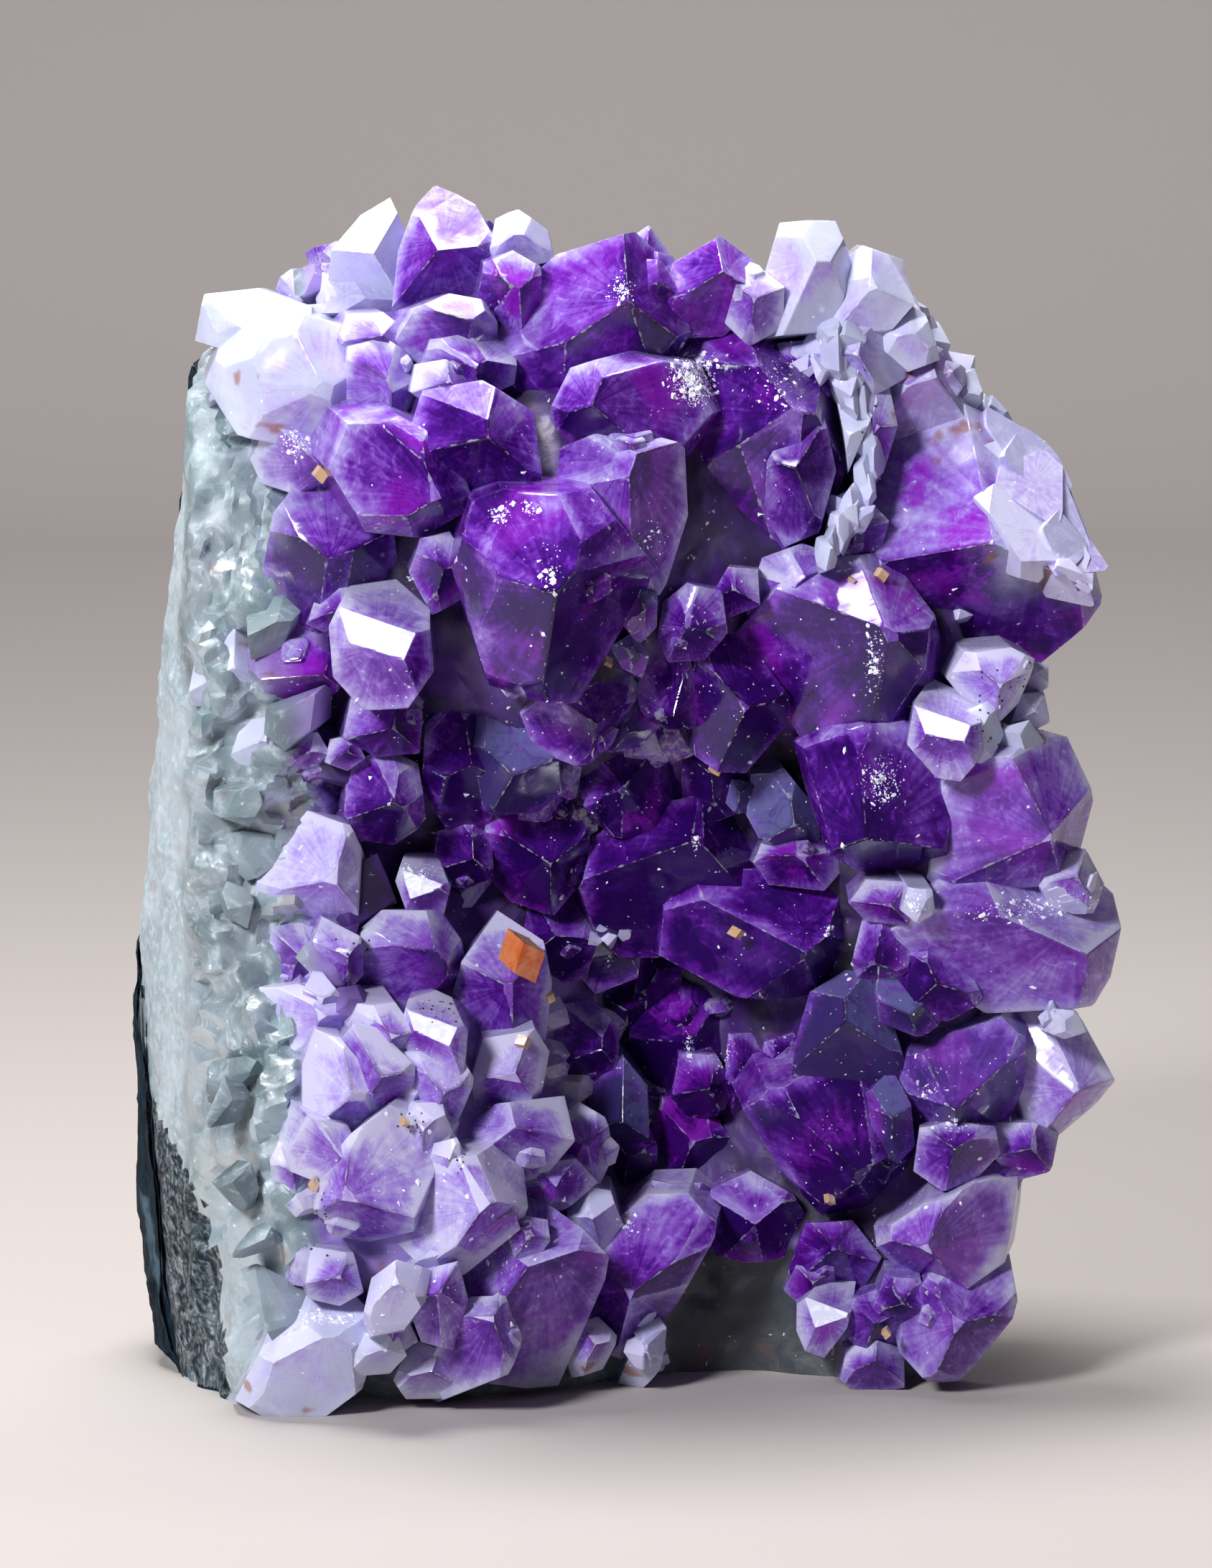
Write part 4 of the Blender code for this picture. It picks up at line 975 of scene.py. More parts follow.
def violet_density(s, f):
    """Dense at the apex, thinner towards the rim and the foot and in milky parts."""
    dense = s.add(f.density, s.ease(f.depth, 0.05, 0.8, 0.14, -0.05))
    dense = s.add(dense, s.ease(f.depth, 0.9, 1.6, 0.0, -0.12))
    # f.facet brings in painted light and shade: facets that face up are paler, those that face down
    # deeper
    for field, slope, start in ((f.cloud, 0.95, -0.475), (f.streak, 0.36, -0.18),
                                (f.facet, -0.5, 0.22), (f.grain, -0.3, 0.15)):
        dense = s.add(dense, s.line(field, slope, start))
    dense = s.add(dense, s.ease(f.wisp, 0.52, 0.72, 0.0, -0.15))
    reach = s.add(f.rim, s.swing(f.cloud, 4.0))
    band = s.mul(s.ease(reach, 0.0, 3.8, 0.45, 0.0), f.pale)
    thinned = s.mul(f.milk, s.ease(f.cloud, 0.35, 0.65, 0.1, 0.3))
    return s.calc("SUBTRACT", s.calc("SUBTRACT", dense, band), thinned, clamp=True)


def violet_windows(s, f):
    """How smoky each facet is, partly its own grey and partly a painted sheen of dim reflected light,
    and whether it is a mirror.
    """
    # frosted facets, among the paler and upward ones: partly frost, partly a painted sheen
    frosted = s.mul(s.ease(f.facet, 0.5, 0.6), s.ease(f.wisp, 0.3, 0.6, 0.4, 0.9))
    frosted = s.mul(frosted, s.ease(f.polish, 0.15, 0.05))
    smoke_and_sheen = s.calc("MAXIMUM", s.mul(f.grey, 0.6), frosted)
    mirror = s.mul(s.ease(f.facet, 0.94, 0.98), s.ease(f.polish, 0.8, 0.95))
    return smoke_and_sheen, mirror


def violet_body(s, f, dense, smoke_and_sheen, mirror):
    """The colour of the crystal, with a painted sheen on smoky facets and a painted reflection on mirror
    facets.
    """
    body = s.ramp(dense, DENSITIES)
    window = s.mul(s.ease(s.noise(f.own, 80, 0), 0.5, 0.68, 0.0, 0.7), f.hue)
    window = s.mul(window, s.ease(dense, 0.35, 0.6))
    body = s.mix(s.mul(window, s.ease(dense, 1.05, 0.8)), body, MAGENTA)
    # smoky facets: partly their own grey, partly a painted sheen of dim reflected light
    body = s.mix(smoke_and_sheen, body, SMOKE_AND_SHEEN)
    # mirror facets painted near white: a painted reflection of the light from above
    painted_glare = s.mix(s.ease(f.wisp, 0.4, 0.6), rgb(216, 216, 240), rgb(240, 242, 252))
    body = s.mix(mirror, body, painted_glare)
    body = s.mix(s.mul(f.fade, s.ease(f.wisp, 0.25, 0.6, 0.75, 1.0)), body, MILK)
    tinge = s.mul(s.ease(f.milk, 0.5, 0.9), s.ease(f.cloud, 0.42, 0.62, 0.85, 0.35))
    return s.mix(tinge, body, rgb(182, 188, 212))


def violet_marks(s, f, body):
    """Rust in the milky borders, dark lines where the tip's faces meet, worn edges that are
    partly a painted highlight, and white points partly sealed below the faces and partly
    painted glints."""
    stain = s.ease(s.noise(f.place, 120, 2, 0.7), 0.6, 0.7, 0.0, 0.7)
    body = s.mix(s.mul(stain, s.around(f.fade, 0.5, 0.3, 0.45)), body, RUST)
    line = s.mul(s.ease(f.spoke, 0.0, 1.0, 1.0, 0.0), s.ease(f.depth, 0.05, 0.6, 1.0, 0.0))
    body = s.mix(s.mul(line, s.line(f.milk, -0.6, 0.6)), body, BLACK)
    # edges whitened: partly wear, partly a painted highlight along them
    worn = s.ease(s.add(f.edge, s.line(f.grain, 1.2, -0.5)), 0.0, 0.25, 0.5, 0.0)
    body = s.mix(worn, body, rgb(226, 226, 248))
    # white points: partly inclusions, partly painted glints
    speck_and_glint_crowd = s.ease(s.noise(f.own, 150, 0), 0.58, 0.68)
    return s.mix(s.mul(s.ease(f.grain, 0.70, 0.75), speck_and_glint_crowd), body, WHITE)


def violet_relief(s, f):
    """Growth lines across the axis, strongest on the prism, and low hillocks."""
    lines = s.noise(s.vector(s.mul(f.depth, 26.0), f.seed, s.mul(f.across, 0.6)), 1.0, 1, 0.5)
    hillocks = s.mul(s.noise(f.own, 210, 0), 0.8)
    s.bump(s.add(s.mul(lines, s.ease(f.depth, 0.85, 1.05, 0.08, 0.45)), hillocks), 0.4, 0.0005)


def quartz():
    """Massive quartz of the wall: chalky at the outer edge, grey-green and clear
    on the flank, violet under the crystals."""
    s = Shader("quartz")
    place = s.place()
    _, chalk, green, violet = s.attribute("region")
    cloud = s.noise(place, 60, 2, 0.6)
    vein = s.noise(place, 150, 3, 0.65, 1.8)
    grain = s.noise(place, 620, 2, 0.6)
    clear = s.mix(s.ease(cloud, 0.35, 0.62), rgb(112, 130, 138), rgb(156, 172, 182))
    tint = s.mul(green, s.ease(s.noise(place, 34, 1), 0.42, 0.62, 0.0, 0.6))
    clear = s.mix(tint, clear, rgb(132, 160, 164))
    clear = s.mix(s.ease(vein, 0.5, 0.68, 0.0, 0.6), clear, rgb(190, 204, 216))
    clear = s.mix(s.ease(vein, 0.42, 0.3, 0.0, 0.45), clear, rgb(96, 112, 120))
    white = s.mix(s.ease(cloud, 0.35, 0.65), rgb(150, 172, 182), rgb(186, 202, 212))
    white = s.mix(s.ease(grain, 0.4, 0.65, 0.0, 0.6), white, rgb(206, 218, 228))
    body = s.mix(s.calc("MAXIMUM", chalk, 0.0), clear, white)
    # chalk below 0 is the shaded foot between the two lobes
    body = s.mix(s.ease(chalk, 0.0, -1.0, 0.0, 0.85), body, rgb(24, 24, 34))
    patches = s.ease(cloud, 0.4, 0.62)
    body = s.mix(s.ease(violet, 0.0, 0.45), body, s.mix(patches, rgb(124, 92, 180), rgb(170, 146, 220)))
    body = s.mix(s.ease(violet, 0.45, 1.0), body, s.mix(patches, rgb(24, 2, 48), rgb(70, 22, 124)))
    stain = s.ease(s.noise(place, 90, 2, 0.7), 0.63, 0.7, 0.0, 0.55)
    body = s.mix(s.mul(stain, s.around(violet, 0.3, 0.2, 0.4)), body, RUST)
    specks = s.mul(s.ease(grain, 0.66, 0.71), s.ease(vein, 0.5, 0.6))
    s.set("Base Color", s.mix(specks, body, WHITE))
    s.bump(s.add(s.mul(grain, 0.35), s.mul(vein, 0.8)), 0.35, 0.0007)
    dull = s.calc("MAXIMUM", s.ease(chalk, 0.0, 1.0, 0.0, 0.2), s.mul(violet, 0.25))
    s.set("Roughness", s.add(s.ease(vein, 0.3, 0.7, 0.34, 0.56), dull))
    s.set("IOR", QUARTZ_IOR)
    s.set("Transmission Weight", 0.3)
    return s.material


def glint():
    """Fresh, smooth fracture flakes."""
    s = Shader("glint")
    s.set("Base Color", s.mix(s.noise(s.place(), 900, 2), rgb(226, 228, 250), rgb(250, 250, 255)))
    s.set("Roughness", 0.08)
    s.set("IOR", QUARTZ_IOR)
    return s.material


def basalt():
    """Dark blue-green fibres with paler weathered patches."""
    s = Shader("basalt")
    place = s.place()
    fibre = s.noise(s.vectors("MULTIPLY", place, (1.0, 1.0, 0.35)), 520, 4, 0.65, 1.2)
    patch = s.noise(place, 60, 4, 0.6, 0.5)
    body = s.mix(s.ease(fibre, 0.35, 0.65), rgb(2, 10, 20), rgb(18, 42, 58))
    s.set("Base Color", s.mix(s.ease(patch, 0.60, 0.72, 0.0, 0.5), body, rgb(96, 124, 140)))
    s.bump(fibre, 0.6, 0.0008)
    s.set("Roughness", 0.8)
    s.set("Specular IOR Level", 0.2)
    return s.material


def calcite(name, deep, light):
    """Calcite, deep in colour, and frosted where it faces up and right."""
    s = Shader(name)
    place = s.place()
    cloud = s.noise(place, 260, 4, 0.6, 0.8)
    normal = s.node("SeparateXYZ", {"Vector": s.node("NewGeometry").outputs["Normal"]}).outputs
    upper_right = s.line(normal["X"], 0.6, normal["Z"])
    frost = s.ease(s.add(upper_right, s.swing(cloud, 0.6)), 0.2, 0.8)
    body = s.mix(s.ease(cloud, 0.3, 0.7), deep, s.mix(0.4, deep, light))
    s.set("Base Color", s.mix(s.mul(frost, 0.9), body, light))
    s.bump(s.noise(place, 900, 3, 0.6), 0.3, 0.0003)
    s.set("Roughness", s.ease(cloud, 0.3, 0.7, 0.2, 0.45))
    s.set("IOR", CALCITE_IOR)
    s.set("Transmission Weight", 0.35)
    return s.material


def plain(name, colour, roughness):
    s = Shader(name)
    s.set("Base Color", colour)
    s.set("Roughness", roughness)
    return s.material


# ---------------------------------------------------------------- quartz wall
SECTORS = 400
FRONT_STEPS = 80
EDGE_STEPS = 25
BACK_STEPS = 24
FRONT_SHARE = 0.97          # how far out the front's rings go, over the outline's radius
BACK_SHARE = 0.95
EDGE_SWELL = 0.045          # how far the rounded edge stands out beyond the front's rings
# Steps of breaking, from coarse to fine: facet size, tilt, most depth, smoothing after.
FRACTURES = ((13.0, 0.22, 2.6, 3), (6.5, 0.28, 1.3, 1), (3.2, 0.3, 0.5, 0))
STONE_SHARP = 40.0          # edges on broken stone look sharp beyond this many degrees


def wall_mesh():
    """The wall's skin, in mm: rings from the front pole round the edge to the back pole."""
    cx, cz = WALL_CENTRE
    angles = np.arange(SECTORS) / SECTORS * math.tau
    radii = np.array([wall_radius(a) for a in angles])
    rings = []

    def ring(share, depth):
        spots = [(cx + radius * math.cos(angle), cz + radius * math.sin(angle))
                 for angle, radius in zip(angles, radii * share)]
        rings.append([(x, depth(x, z), z) for x, z in spots])

    for k in range(1, FRONT_STEPS):
        ring(FRONT_SHARE * k / (FRONT_STEPS - 1), lambda x, z: -wall_front(x, z))
    for t in np.linspace(0, 1, EDGE_STEPS + 1)[1:]:
        share = FRONT_SHARE + EDGE_SWELL * math.sin(math.pi * min(t, 0.5))
        if t > 0.5:
            full = FRONT_SHARE + EDGE_SWELL
            share = full - (full - BACK_SHARE) * (t - 0.5) / 0.5
        ring(share, lambda x, z, t=t: (1 - t) * -wall_front(x, z) + t * wall_back(x, z))
    for k in range(BACK_STEPS - 1, 0, -1):
        ring(BACK_SHARE * k / BACK_STEPS, wall_back)
    bm = bmesh.new()
    bmesh.ops.create_uvsphere(bm, u_segments=SECTORS, v_segments=len(rings) + 1, radius=1.0)
    for vert in bm.verts:
        polar = math.acos(max(-1.0, min(1.0, vert.co.z)))
        level = round(polar / math.pi * (len(rings) + 1))
        if level == 0:
            vert.co = (cx, -wall_front(cx, cz), cz)
        elif level > len(rings):
            vert.co = (cx, wall_back(cx, cz), cz)
        else:
            sector = round(math.atan2(vert.co.y, vert.co.x) / math.tau * SECTORS) % SECTORS
            vert.co = rings[level - 1][sector]
    bmesh.ops.recalc_face_normals(bm, faces=bm.faces[:])
    bm.normal_update()
    return bm


def break_up(bm, size, tilt, limit, rng, share):
    """Breaks a skin into flat facets about size across, each tilted at random."""
    order = list(bm.verts)
    rng.shuffle(order)
    tree = kdtree.KDTree(len(order))
    spaced = Spaced(size)
    facets = []
    for vert in order:
        if spaced.fits(vert.co, size * 0.8):
            spaced.add(vert.co.copy())
            tree.insert(vert.co, len(facets))
            normal = (vert.normal + spray(rng, tilt)).normalized()
            facets.append((vert.co.copy(), normal, rng.gauss(0, 0.12 * limit)))
    tree.balance()
    moves = []
    for vert in bm.verts:
        point, normal, rise = facets[tree.find(vert.co)[1]]
        move = (point - vert.co).dot(normal) / max(0.35, vert.normal.dot(normal)) + rise
        moves.append(max(-limit, min(limit, move)) * share(vert.co))
    for vert, move in zip(bm.verts, moves):
        vert.co += vert.normal * move


def wall_region(points):
    """Chalk at the left edge, green tint on the left flank, violet under the crystals;
    the wall's foot between the two lobes is dim, which is chalk below 0."""
    out = []
    for p in points / MM:
        x, y, z = p
        off = uneven(Vector(p))
        strip = smooth(-84.5, -86.5, x + 0.6 * off) * smooth(-4, 8, z + off)
        chalk = max(strip, 0.8 * smooth(-62, -80, x + off) * smooth(44, 10, z + off))
        green = smooth(-50, -66, x + off)
        violet = smooth(-64, -54, x + off) * smooth(14, 2, y) * smooth(4, 16, z + off)
        # less violet on the wall at the lower left: painted light, as on the crystals there
        violet *= 1 - 0.55 * smooth(4, -8, x) * smooth(86, 70, z)
        dim = smooth(0, 8, x) * smooth(46, 38, x) * smooth(30, 24, z)
        out.append((chalk - 2 * dim, green, violet * (1 - dim)))
    return {"region": np.array(out)}


def add_wall(material):
    """The wall; gives back a tree to find places on it, and the crust for its edge."""
    rng = random.Random(21)
    bm = wall_mesh()

    def share(p):
        """The flank is rough, the part under the crystals and the left rim less so."""
        return (0.35 + 0.65 * smooth(-50, -64, p.x)) * (1 - 0.75 * smooth(-82, -87, p.x))

    for size, tilt, limit, smoothings in FRACTURES:
        break_up(bm, size, tilt, limit, rng, share)
        for _ in range(smoothings):
            bmesh.ops.smooth_vert(bm, verts=bm.verts[:], factor=0.5, use_axis_x=True,
                                  use_axis_y=True, use_axis_z=True)
        bm.normal_update()
    for vert in bm.verts:
        strip = smooth(-84.2, -85.4, vert.co.x + 0.6 * uneven(vert.co)) * smooth(16, 0, vert.co.y)
        vert.co += vert.normal * (0.9 * strip + 0.3 * noise.fractal(vert.co * 0.4, 0.8, 2.0, 3))
    bmesh.ops.bisect_plane(bm, geom=bm.verts[:] + bm.edges[:] + bm.faces[:], dist=1e-5,
                           plane_co=(0, 0, 0), plane_no=(0, 0, -1), clear_outer=True)
    bmesh.ops.holes_fill(bm, edges=[e for e in bm.edges if e.is_boundary], sides=0)
    bmesh.ops.scale(bm, verts=bm.verts[:], vec=(MM, MM, MM))
    bmesh.ops.triangulate(bm, faces=bm.faces[:])
    tree = BVHTree.FromBMesh(bm)
    patch = rind_patch(bm)
    piece = Piece("quartz_wall", STONE_SHARP)
    piece.add(bm, wall_region)
    piece.make(material)
    return tree, patch


# The dark rind that shows on the flank: right edge x at each height z.
RIND_REACH = ((0, -76), (10, -77), (22, -78.5), (30, -80), (40, -84), (48, -89), (54, -94))
RIND_FRONT = 17.0           # the patch ends at this y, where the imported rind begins
RIND_GRAIN = 3.0


def rind_patch(wall):
    """A fibrous crust over the flank's lower left edge, closed, cut from the wall's skin."""
    heights, reaches = zip(*RIND_REACH)
    bm = wall.copy()
    gone = []
    for face in bm.faces:
        p = face.calc_center_median() / MM
        off = 1.6 * noise.noise(Vector((p.x, p.y, p.z * 0.4)) * 0.5) + 1.2 * noise.noise(p * 0.15)
        reach = float(np.interp(p.z, heights, reaches)) + off
        if p.z > heights[-1] or p.y > RIND_FRONT or p.x > reach:
            gone.append(face)
    bmesh.ops.delete(bm, geom=gone, context="FACES")
    bmesh.ops.delete(bm, geom=[v for v in bm.verts if not v.link_faces], context="VERTS")
    split_long(bm, 0.9, 2)
    bm.normal_update()
    outer = bmesh.ops.extrude_face_region(bm, geom=bm.faces[:])["geom"]
    for vert in (g for g in outer if isinstance(g, bmesh.types.BMVert)):
        x, y, z = vert.co / MM
        fibre = noise.fractal(Vector((x * 0.3, y * 0.3, z * 0.1)), 0.8, 2.0, 2)
        vert.co += vert.normal * (0.8 + 0.5 * fibre) * MM
    for vert in bm.verts:
        vert.co.z = max(vert.co.z, 0.05 * MM)
    bmesh.ops.recalc_face_normals(bm, faces=bm.faces[:])
    bmesh.ops.triangulate(bm, faces=bm.faces[:])
    return bm


def add_rind(material, patch):
    """The fibrous rind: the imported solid's skin, roughened, and the patch on the flank.
    The skin's triangles come unwelded, so hairline seams open between them."""
    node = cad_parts["basalt_rind"]
    bm = bmesh.new()
    bm.from_mesh(node.data)
    bm.transform(node.matrix_world)
    bmesh.ops.triangulate(bm, faces=bm.faces[:])
    split_long(bm, RIND_GRAIN, 6)
    bm.normal_update()
    for vert in bm.verts:
        p = vert.co / MM
        broad = noise.fractal(p * 0.06, 0.9, 2.0, 3)
        fibre = noise.fractal(Vector((p.x * 0.5, p.y * 0.5, p.z * 0.2)), 0.9, 2.0, 3)
        vert.co += vert.normal * (1.3 * broad + 0.5 * fibre) * MM
        vert.co.z = max(vert.co.z, 0.0)
    piece = Piece("rind_worn", STONE_SHARP)
    piece.add(bm)
    piece.add(patch)
    piece.make(material, "basalt", "basalt_rind")


# ---------------------------------------------------------------- crystals of all sizes
def read_crystals():
    for line in CRYSTALS.strip().replace("\n   ", "").splitlines():
        name, tone, extra, *points = line.split()
        spokes = [k for k, point in enumerate(points[1:]) if point.endswith("*")]
        apex, *outline = (tuple(map(float, p.strip("*").split(","))) for p in points)
        yield name, tone, float(extra), apex, outline, spokes


def group_of(name):
    """The group with the longest prefix that the name starts with."""
    return max((len(prefix), group) for group, prefixes in GROUPS.items() for prefix in prefixes
               if name.startswith(prefix))[1]


def big_crystals(rng):
    """Every crystal of the table, and the smaller ones grown on the biggest."""
    found = []
    for name, *row in read_crystals():
        crystal = from_outline(*row, rng)
        found.append((name, crystal))
        if crystal.apothem > BIG_APOTHEM and crystal.tone in CARRIERS:
            for _ in range(rng.choice((0, 1, 1, 2))):
                found.append((name, parallel_growth(crystal, rng)))
        crystal.planes += chips(crystal, rng)
    return found


def add_crystals(material):
    """The crystals of the table; gives back a tree to find places on their faces."""
    pieces = {name: Piece(name) for name in GROUPS}
    everything = bmesh.new()
    scratch = bpy.data.meshes.new("scratch")
    base, growth, most = EDGE_WEAR
    for name, crystal in big_crystals(random.Random(7)):
        bm = solid(crystal, min(most, base + growth * crystal.apothem), HEAD_GRAIN)
        bm.to_mesh(scratch)
        everything.from_mesh(scratch)
        seed = random.Random(name).random()
        pieces[group_of(name)].add(bm, crystal_values(crystal, crystal.tone, seed))
    bpy.data.meshes.remove(scratch)
    tree = BVHTree.FromBMesh(everything)
    everything.free()
    for piece in pieces.values():
        piece.make(material)
    return tree


def scatter(wall_tree, tree, room, count, keep, rng):
    """Points on the wall's face, at least room apart, outside the crystals."""
    placed = []
    spaced = Spaced(6)
    for _ in range(count):
        x = rng.uniform(-98, 90)
        z = rng.uniform(1, 226)
        if rng.random() < 0.35:     # from the side, inwards, and otherwise from the front
            angle = rng.uniform(0, math.tau)
            ray = -Vector((math.cos(angle), -0.5, math.sin(angle))).normalized()
            start = Vector((WALL_CENTRE[0], rng.uniform(-40, 14), WALL_CENTRE[1])) - ray * 200
        else:
            start, ray = VANTAGE, sight(x, z)[1]
        hit, normal, _, _ = wall_tree.ray_cast(start * MM, ray)
        if hit is None:
            continue
        point = hit / MM
        if point.z < 1.5 or not keep(point, normal) or not spaced.fits(point, room):
            continue
        above = (point + normal * 1.5) * MM
        nearest, face_normal, _, _ = tree.find_nearest(above)
        if nearest is not None and (above - nearest).dot(face_normal) < 0:
            continue
        spaced.add(point)
        placed.append((point, normal.copy()))
    return placed


def add_small_crystals(material, wall_tree, tree):
    """Small crystals that fill the gaps between the big ones."""
    rng = random.Random(11)
    piece = Piece("crystals_small")

    def keep(point, normal):
        return normal.y < 0.3 and point.y < 20 and point.x > -62

    for point, normal in scatter(wall_tree, tree, 4.2, 26000, keep, rng):
        radius = rng.uniform(1.8, 4.4)
        axis = (normal * 0.8 + Vector((0, -0.6, 0.1)) + jitter(rng, 0.3)).normalized()
        crystal = hexagonal(point - axis * 2, axis, radius, rng.uniform(0.5, 4.0), rng)
        # dark tones in the gaps are painted shade between the big crystals; pale tones at the lower left
        # are painted light, as on the big ones there
        low_left = point.x < 0 and point.z < 82
        tone = rng.choice("LP") if low_left else rng.choice("DDP")
        piece.add(solid(crystal, SMALL_EDGE_WEAR), crystal_values(crystal, tone, rng.random()))
    piece.make(material)


# ---------------------------------------------------------------- massive and milky quartz
# Milky quartz blocks: centre x, z, forward of the envelope, smallest and largest
# radius, spread, number, cuts that shape each.
BLOCKS = (
    (38, 211, -13, 9, 11, 2, 2, 16), (48, 208, -12, 9, 10, 2, 2, 16), (55, 203, -10, 6, 8, 2, 2, 14),
    (61, 196, -8, 3, 5, 2, 3, 14), (-72, 200, -12, 6, 8, 3, 3, 14), (-62, 204, -14, 5, 7, 3, 2, 14),
    (-52, 209, -14, 4, 7, 3, 4, 13), (-48, 213, -15, 3, 6, 2, 3, 13), (4, 8, -6, 2, 4, 3, 4, 13),
    (-62, 9, -6, 4, 7, 4, 5, 13), (69, 187, -8, 3, 5, 3, 4, 13),
)
# Flat-topped plates of broken white shell on the faces seen here: x, z, smallest and
# largest radius, spread, number.
SHELL = (
    (79, 180, 6, 9, 3, 6), (85, 169, 6, 9, 3, 6), (86, 159, 4, 7, 3, 5), (44, 172, 1.5, 3, 2, 7),
    (36, 201, 1.5, 3, 2, 5), (88, 99, 1.5, 3, 2, 5), (84, 74, 2, 3, 2, 3), (-3, 86, 1, 2, 1.5, 4),
    (5, 9, 2, 4, 3, 5),
)
# The thin white fin: splinters along this path of x, z.
FIN = (
    (40, 206), (42.5, 200), (44.5, 194), (46.5, 188), (47.5, 182), (46, 176), (42.5, 170),
    (38.5, 165),
)
SPLINTERS = 18
BLOCK_SHARP = 30.0


def add_quartz_grains(material, wall_tree, tree):
    """Blocks of clear quartz that stand a little out of the broken flank."""
    rng = random.Random(12)
    piece = Piece("quartz_grains", BLOCK_SHARP)

    def keep(point, normal):
        rind = point.z < 58 and point.x < -70
        return -76 < point.x < -54 and point.y < 6 and normal.y < 0.4 and not rind

    for point, normal in scatter(wall_tree, tree, 10.0, 12000, keep, rng):
        radius = rng.uniform(3.0, 6.0)
        centre = point - normal * radius * rng.uniform(0.82, 0.98)
        piece.add(lump(centre, radius, rng, edge=0.25), wall_region)
    piece.make(material)


def add_blocks(material, tree):
    """The milky blocks at the edges, and plates of broken shell on the crystals."""
    rng = random.Random(16)
    piece = Piece("milky_blocks", BLOCK_SHARP)
    for x0, z0, extra, smallest, largest, spread, count, cuts in BLOCKS:
        for _ in range(count):
            x, z = rng.gauss(x0, spread * 0.6), rng.gauss(z0, spread * 0.5)
            radius = rng.uniform(smallest, largest)
            centre = carried(x, z, envelope(x, z) + extra - radius * rng.uniform(0.5, 1.1))
            bm = lump(centre, radius, rng, cuts=cuts)
            milk = rng.uniform(0.7, 1.0) if x > 30 or x < -55 else rng.uniform(0.35, 0.7)
            piece.add(bm, block_values(centre, radius, milk, rng))
    for x0, z0, smallest, largest, spread, count in SHELL:
        for _ in range(count):
            point, normal = seen_point(tree, rng.gauss(x0, spread), rng.gauss(z0, spread))
            if point is None:
                continue
            radius = rng.uniform(smallest, largest)
            bm = lump(point, radius, rng)
            lean = spray(rng, 0.08)
            top = point + normal * radius * rng.uniform(0.02, 0.12)
            cut_with(bm, top * MM, (normal + lean).normalized())
            bmesh.ops.triangulate(bm, faces=bm.faces[:])
            piece.add(bm, block_values(point, radius, rng.uniform(0.3, 0.7), rng))
    piece.make(material)


def add_fin(material):
    """Upright splinters of white quartz that overlap along the fin's path."""
    rng = random.Random(13)
    piece = Piece("quartz_fin", BLOCK_SHARP)
    for k in range(SPLINTERS):
        at = k / (SPLINTERS - 1) * (len(FIN) - 1.001)
        (x0, z0), (x1, z1) = FIN[int(at)], FIN[int(at) + 1]
        x = x0 + (x1 - x0) * (at % 1) + rng.gauss(0, 0.5)
        z = z0 + (z1 - z0) * (at % 1)
        radius = rng.uniform(5.2, 6.6) * (1.15 - 0.6 * k / SPLINTERS)
        centre = carried(x, z, envelope(x, z) + 4 - radius * rng.uniform(1.0, 1.25))
        shape = (rng.uniform(0.5, 0.62), 1.2, rng.uniform(1.0, 1.3))
        bm = lump(centre, radius, rng, shape=shape, cuts=26)
        piece.add(bm, block_values(centre, radius, rng.uniform(0.8, 1.0), rng))
    piece.make(material)


# ---------------------------------------------------------------- glitter and specks
# Patches of glitter: x from, x to, z from, z to, number of flakes over FLAKES_EACH.
GLITTER = (
    (9, 18, 193, 204, 220), (-3, 2, 212, 218, 30), (-26, -21, 172, 176, 16), (-20, -15, 174, 177, 14),
    (-17, -11, 159, 168, 16), (45, 53, 117, 127, 60), (66, 90, 95, 101, 70), (53, 57, 97, 101, 14),
    (46, 50, 138, 151, 30), (-66, -60, 182, 188, 40), (38, 41, 90, 93, 8), (13, 15, 105, 110, 12),
    (-64, -50, 18, 22, 50), (-2, 3, 31, 36, 16), (-43, -36, 98, 104, 24), (57, 60, 59, 62, 8),
    (60, 67, 52, 55, 10), (12, 14, 60, 70, 12), (19, 22, 60, 68, 12), (-4, -2, 79, 88, 8),
    (14, 15, 178, 188, 12), (12, 16, 174, 178, 10), (24, 36, 190, 204, 30), (2, 10, 166, 174, 10),
    (-60, 80, 60, 200, 120), (-60, -5, 10, 70, 60), (20, 88, 20, 90, 50),
)
FLAKES_EACH = 4
# Dark iron-oxide specks: x from, x to, z from, z to, number.
SPECKS = (
    (-62, -56, 33, 45, 46), (-40, -30, 75, 79, 22), (-43, -38, 56, 60, 16), (-34, -30, 48, 52, 8),
    (28, 38, 66, 77, 40), (66, 80, 128, 144, 22), (8, 12, 146, 149, 8), (34, 38, 135, 143, 6),
    (-56, -48, 82, 90, 12), (-10, 0, 75, 80, 10), (40, 50, 186, 200, 8),
)


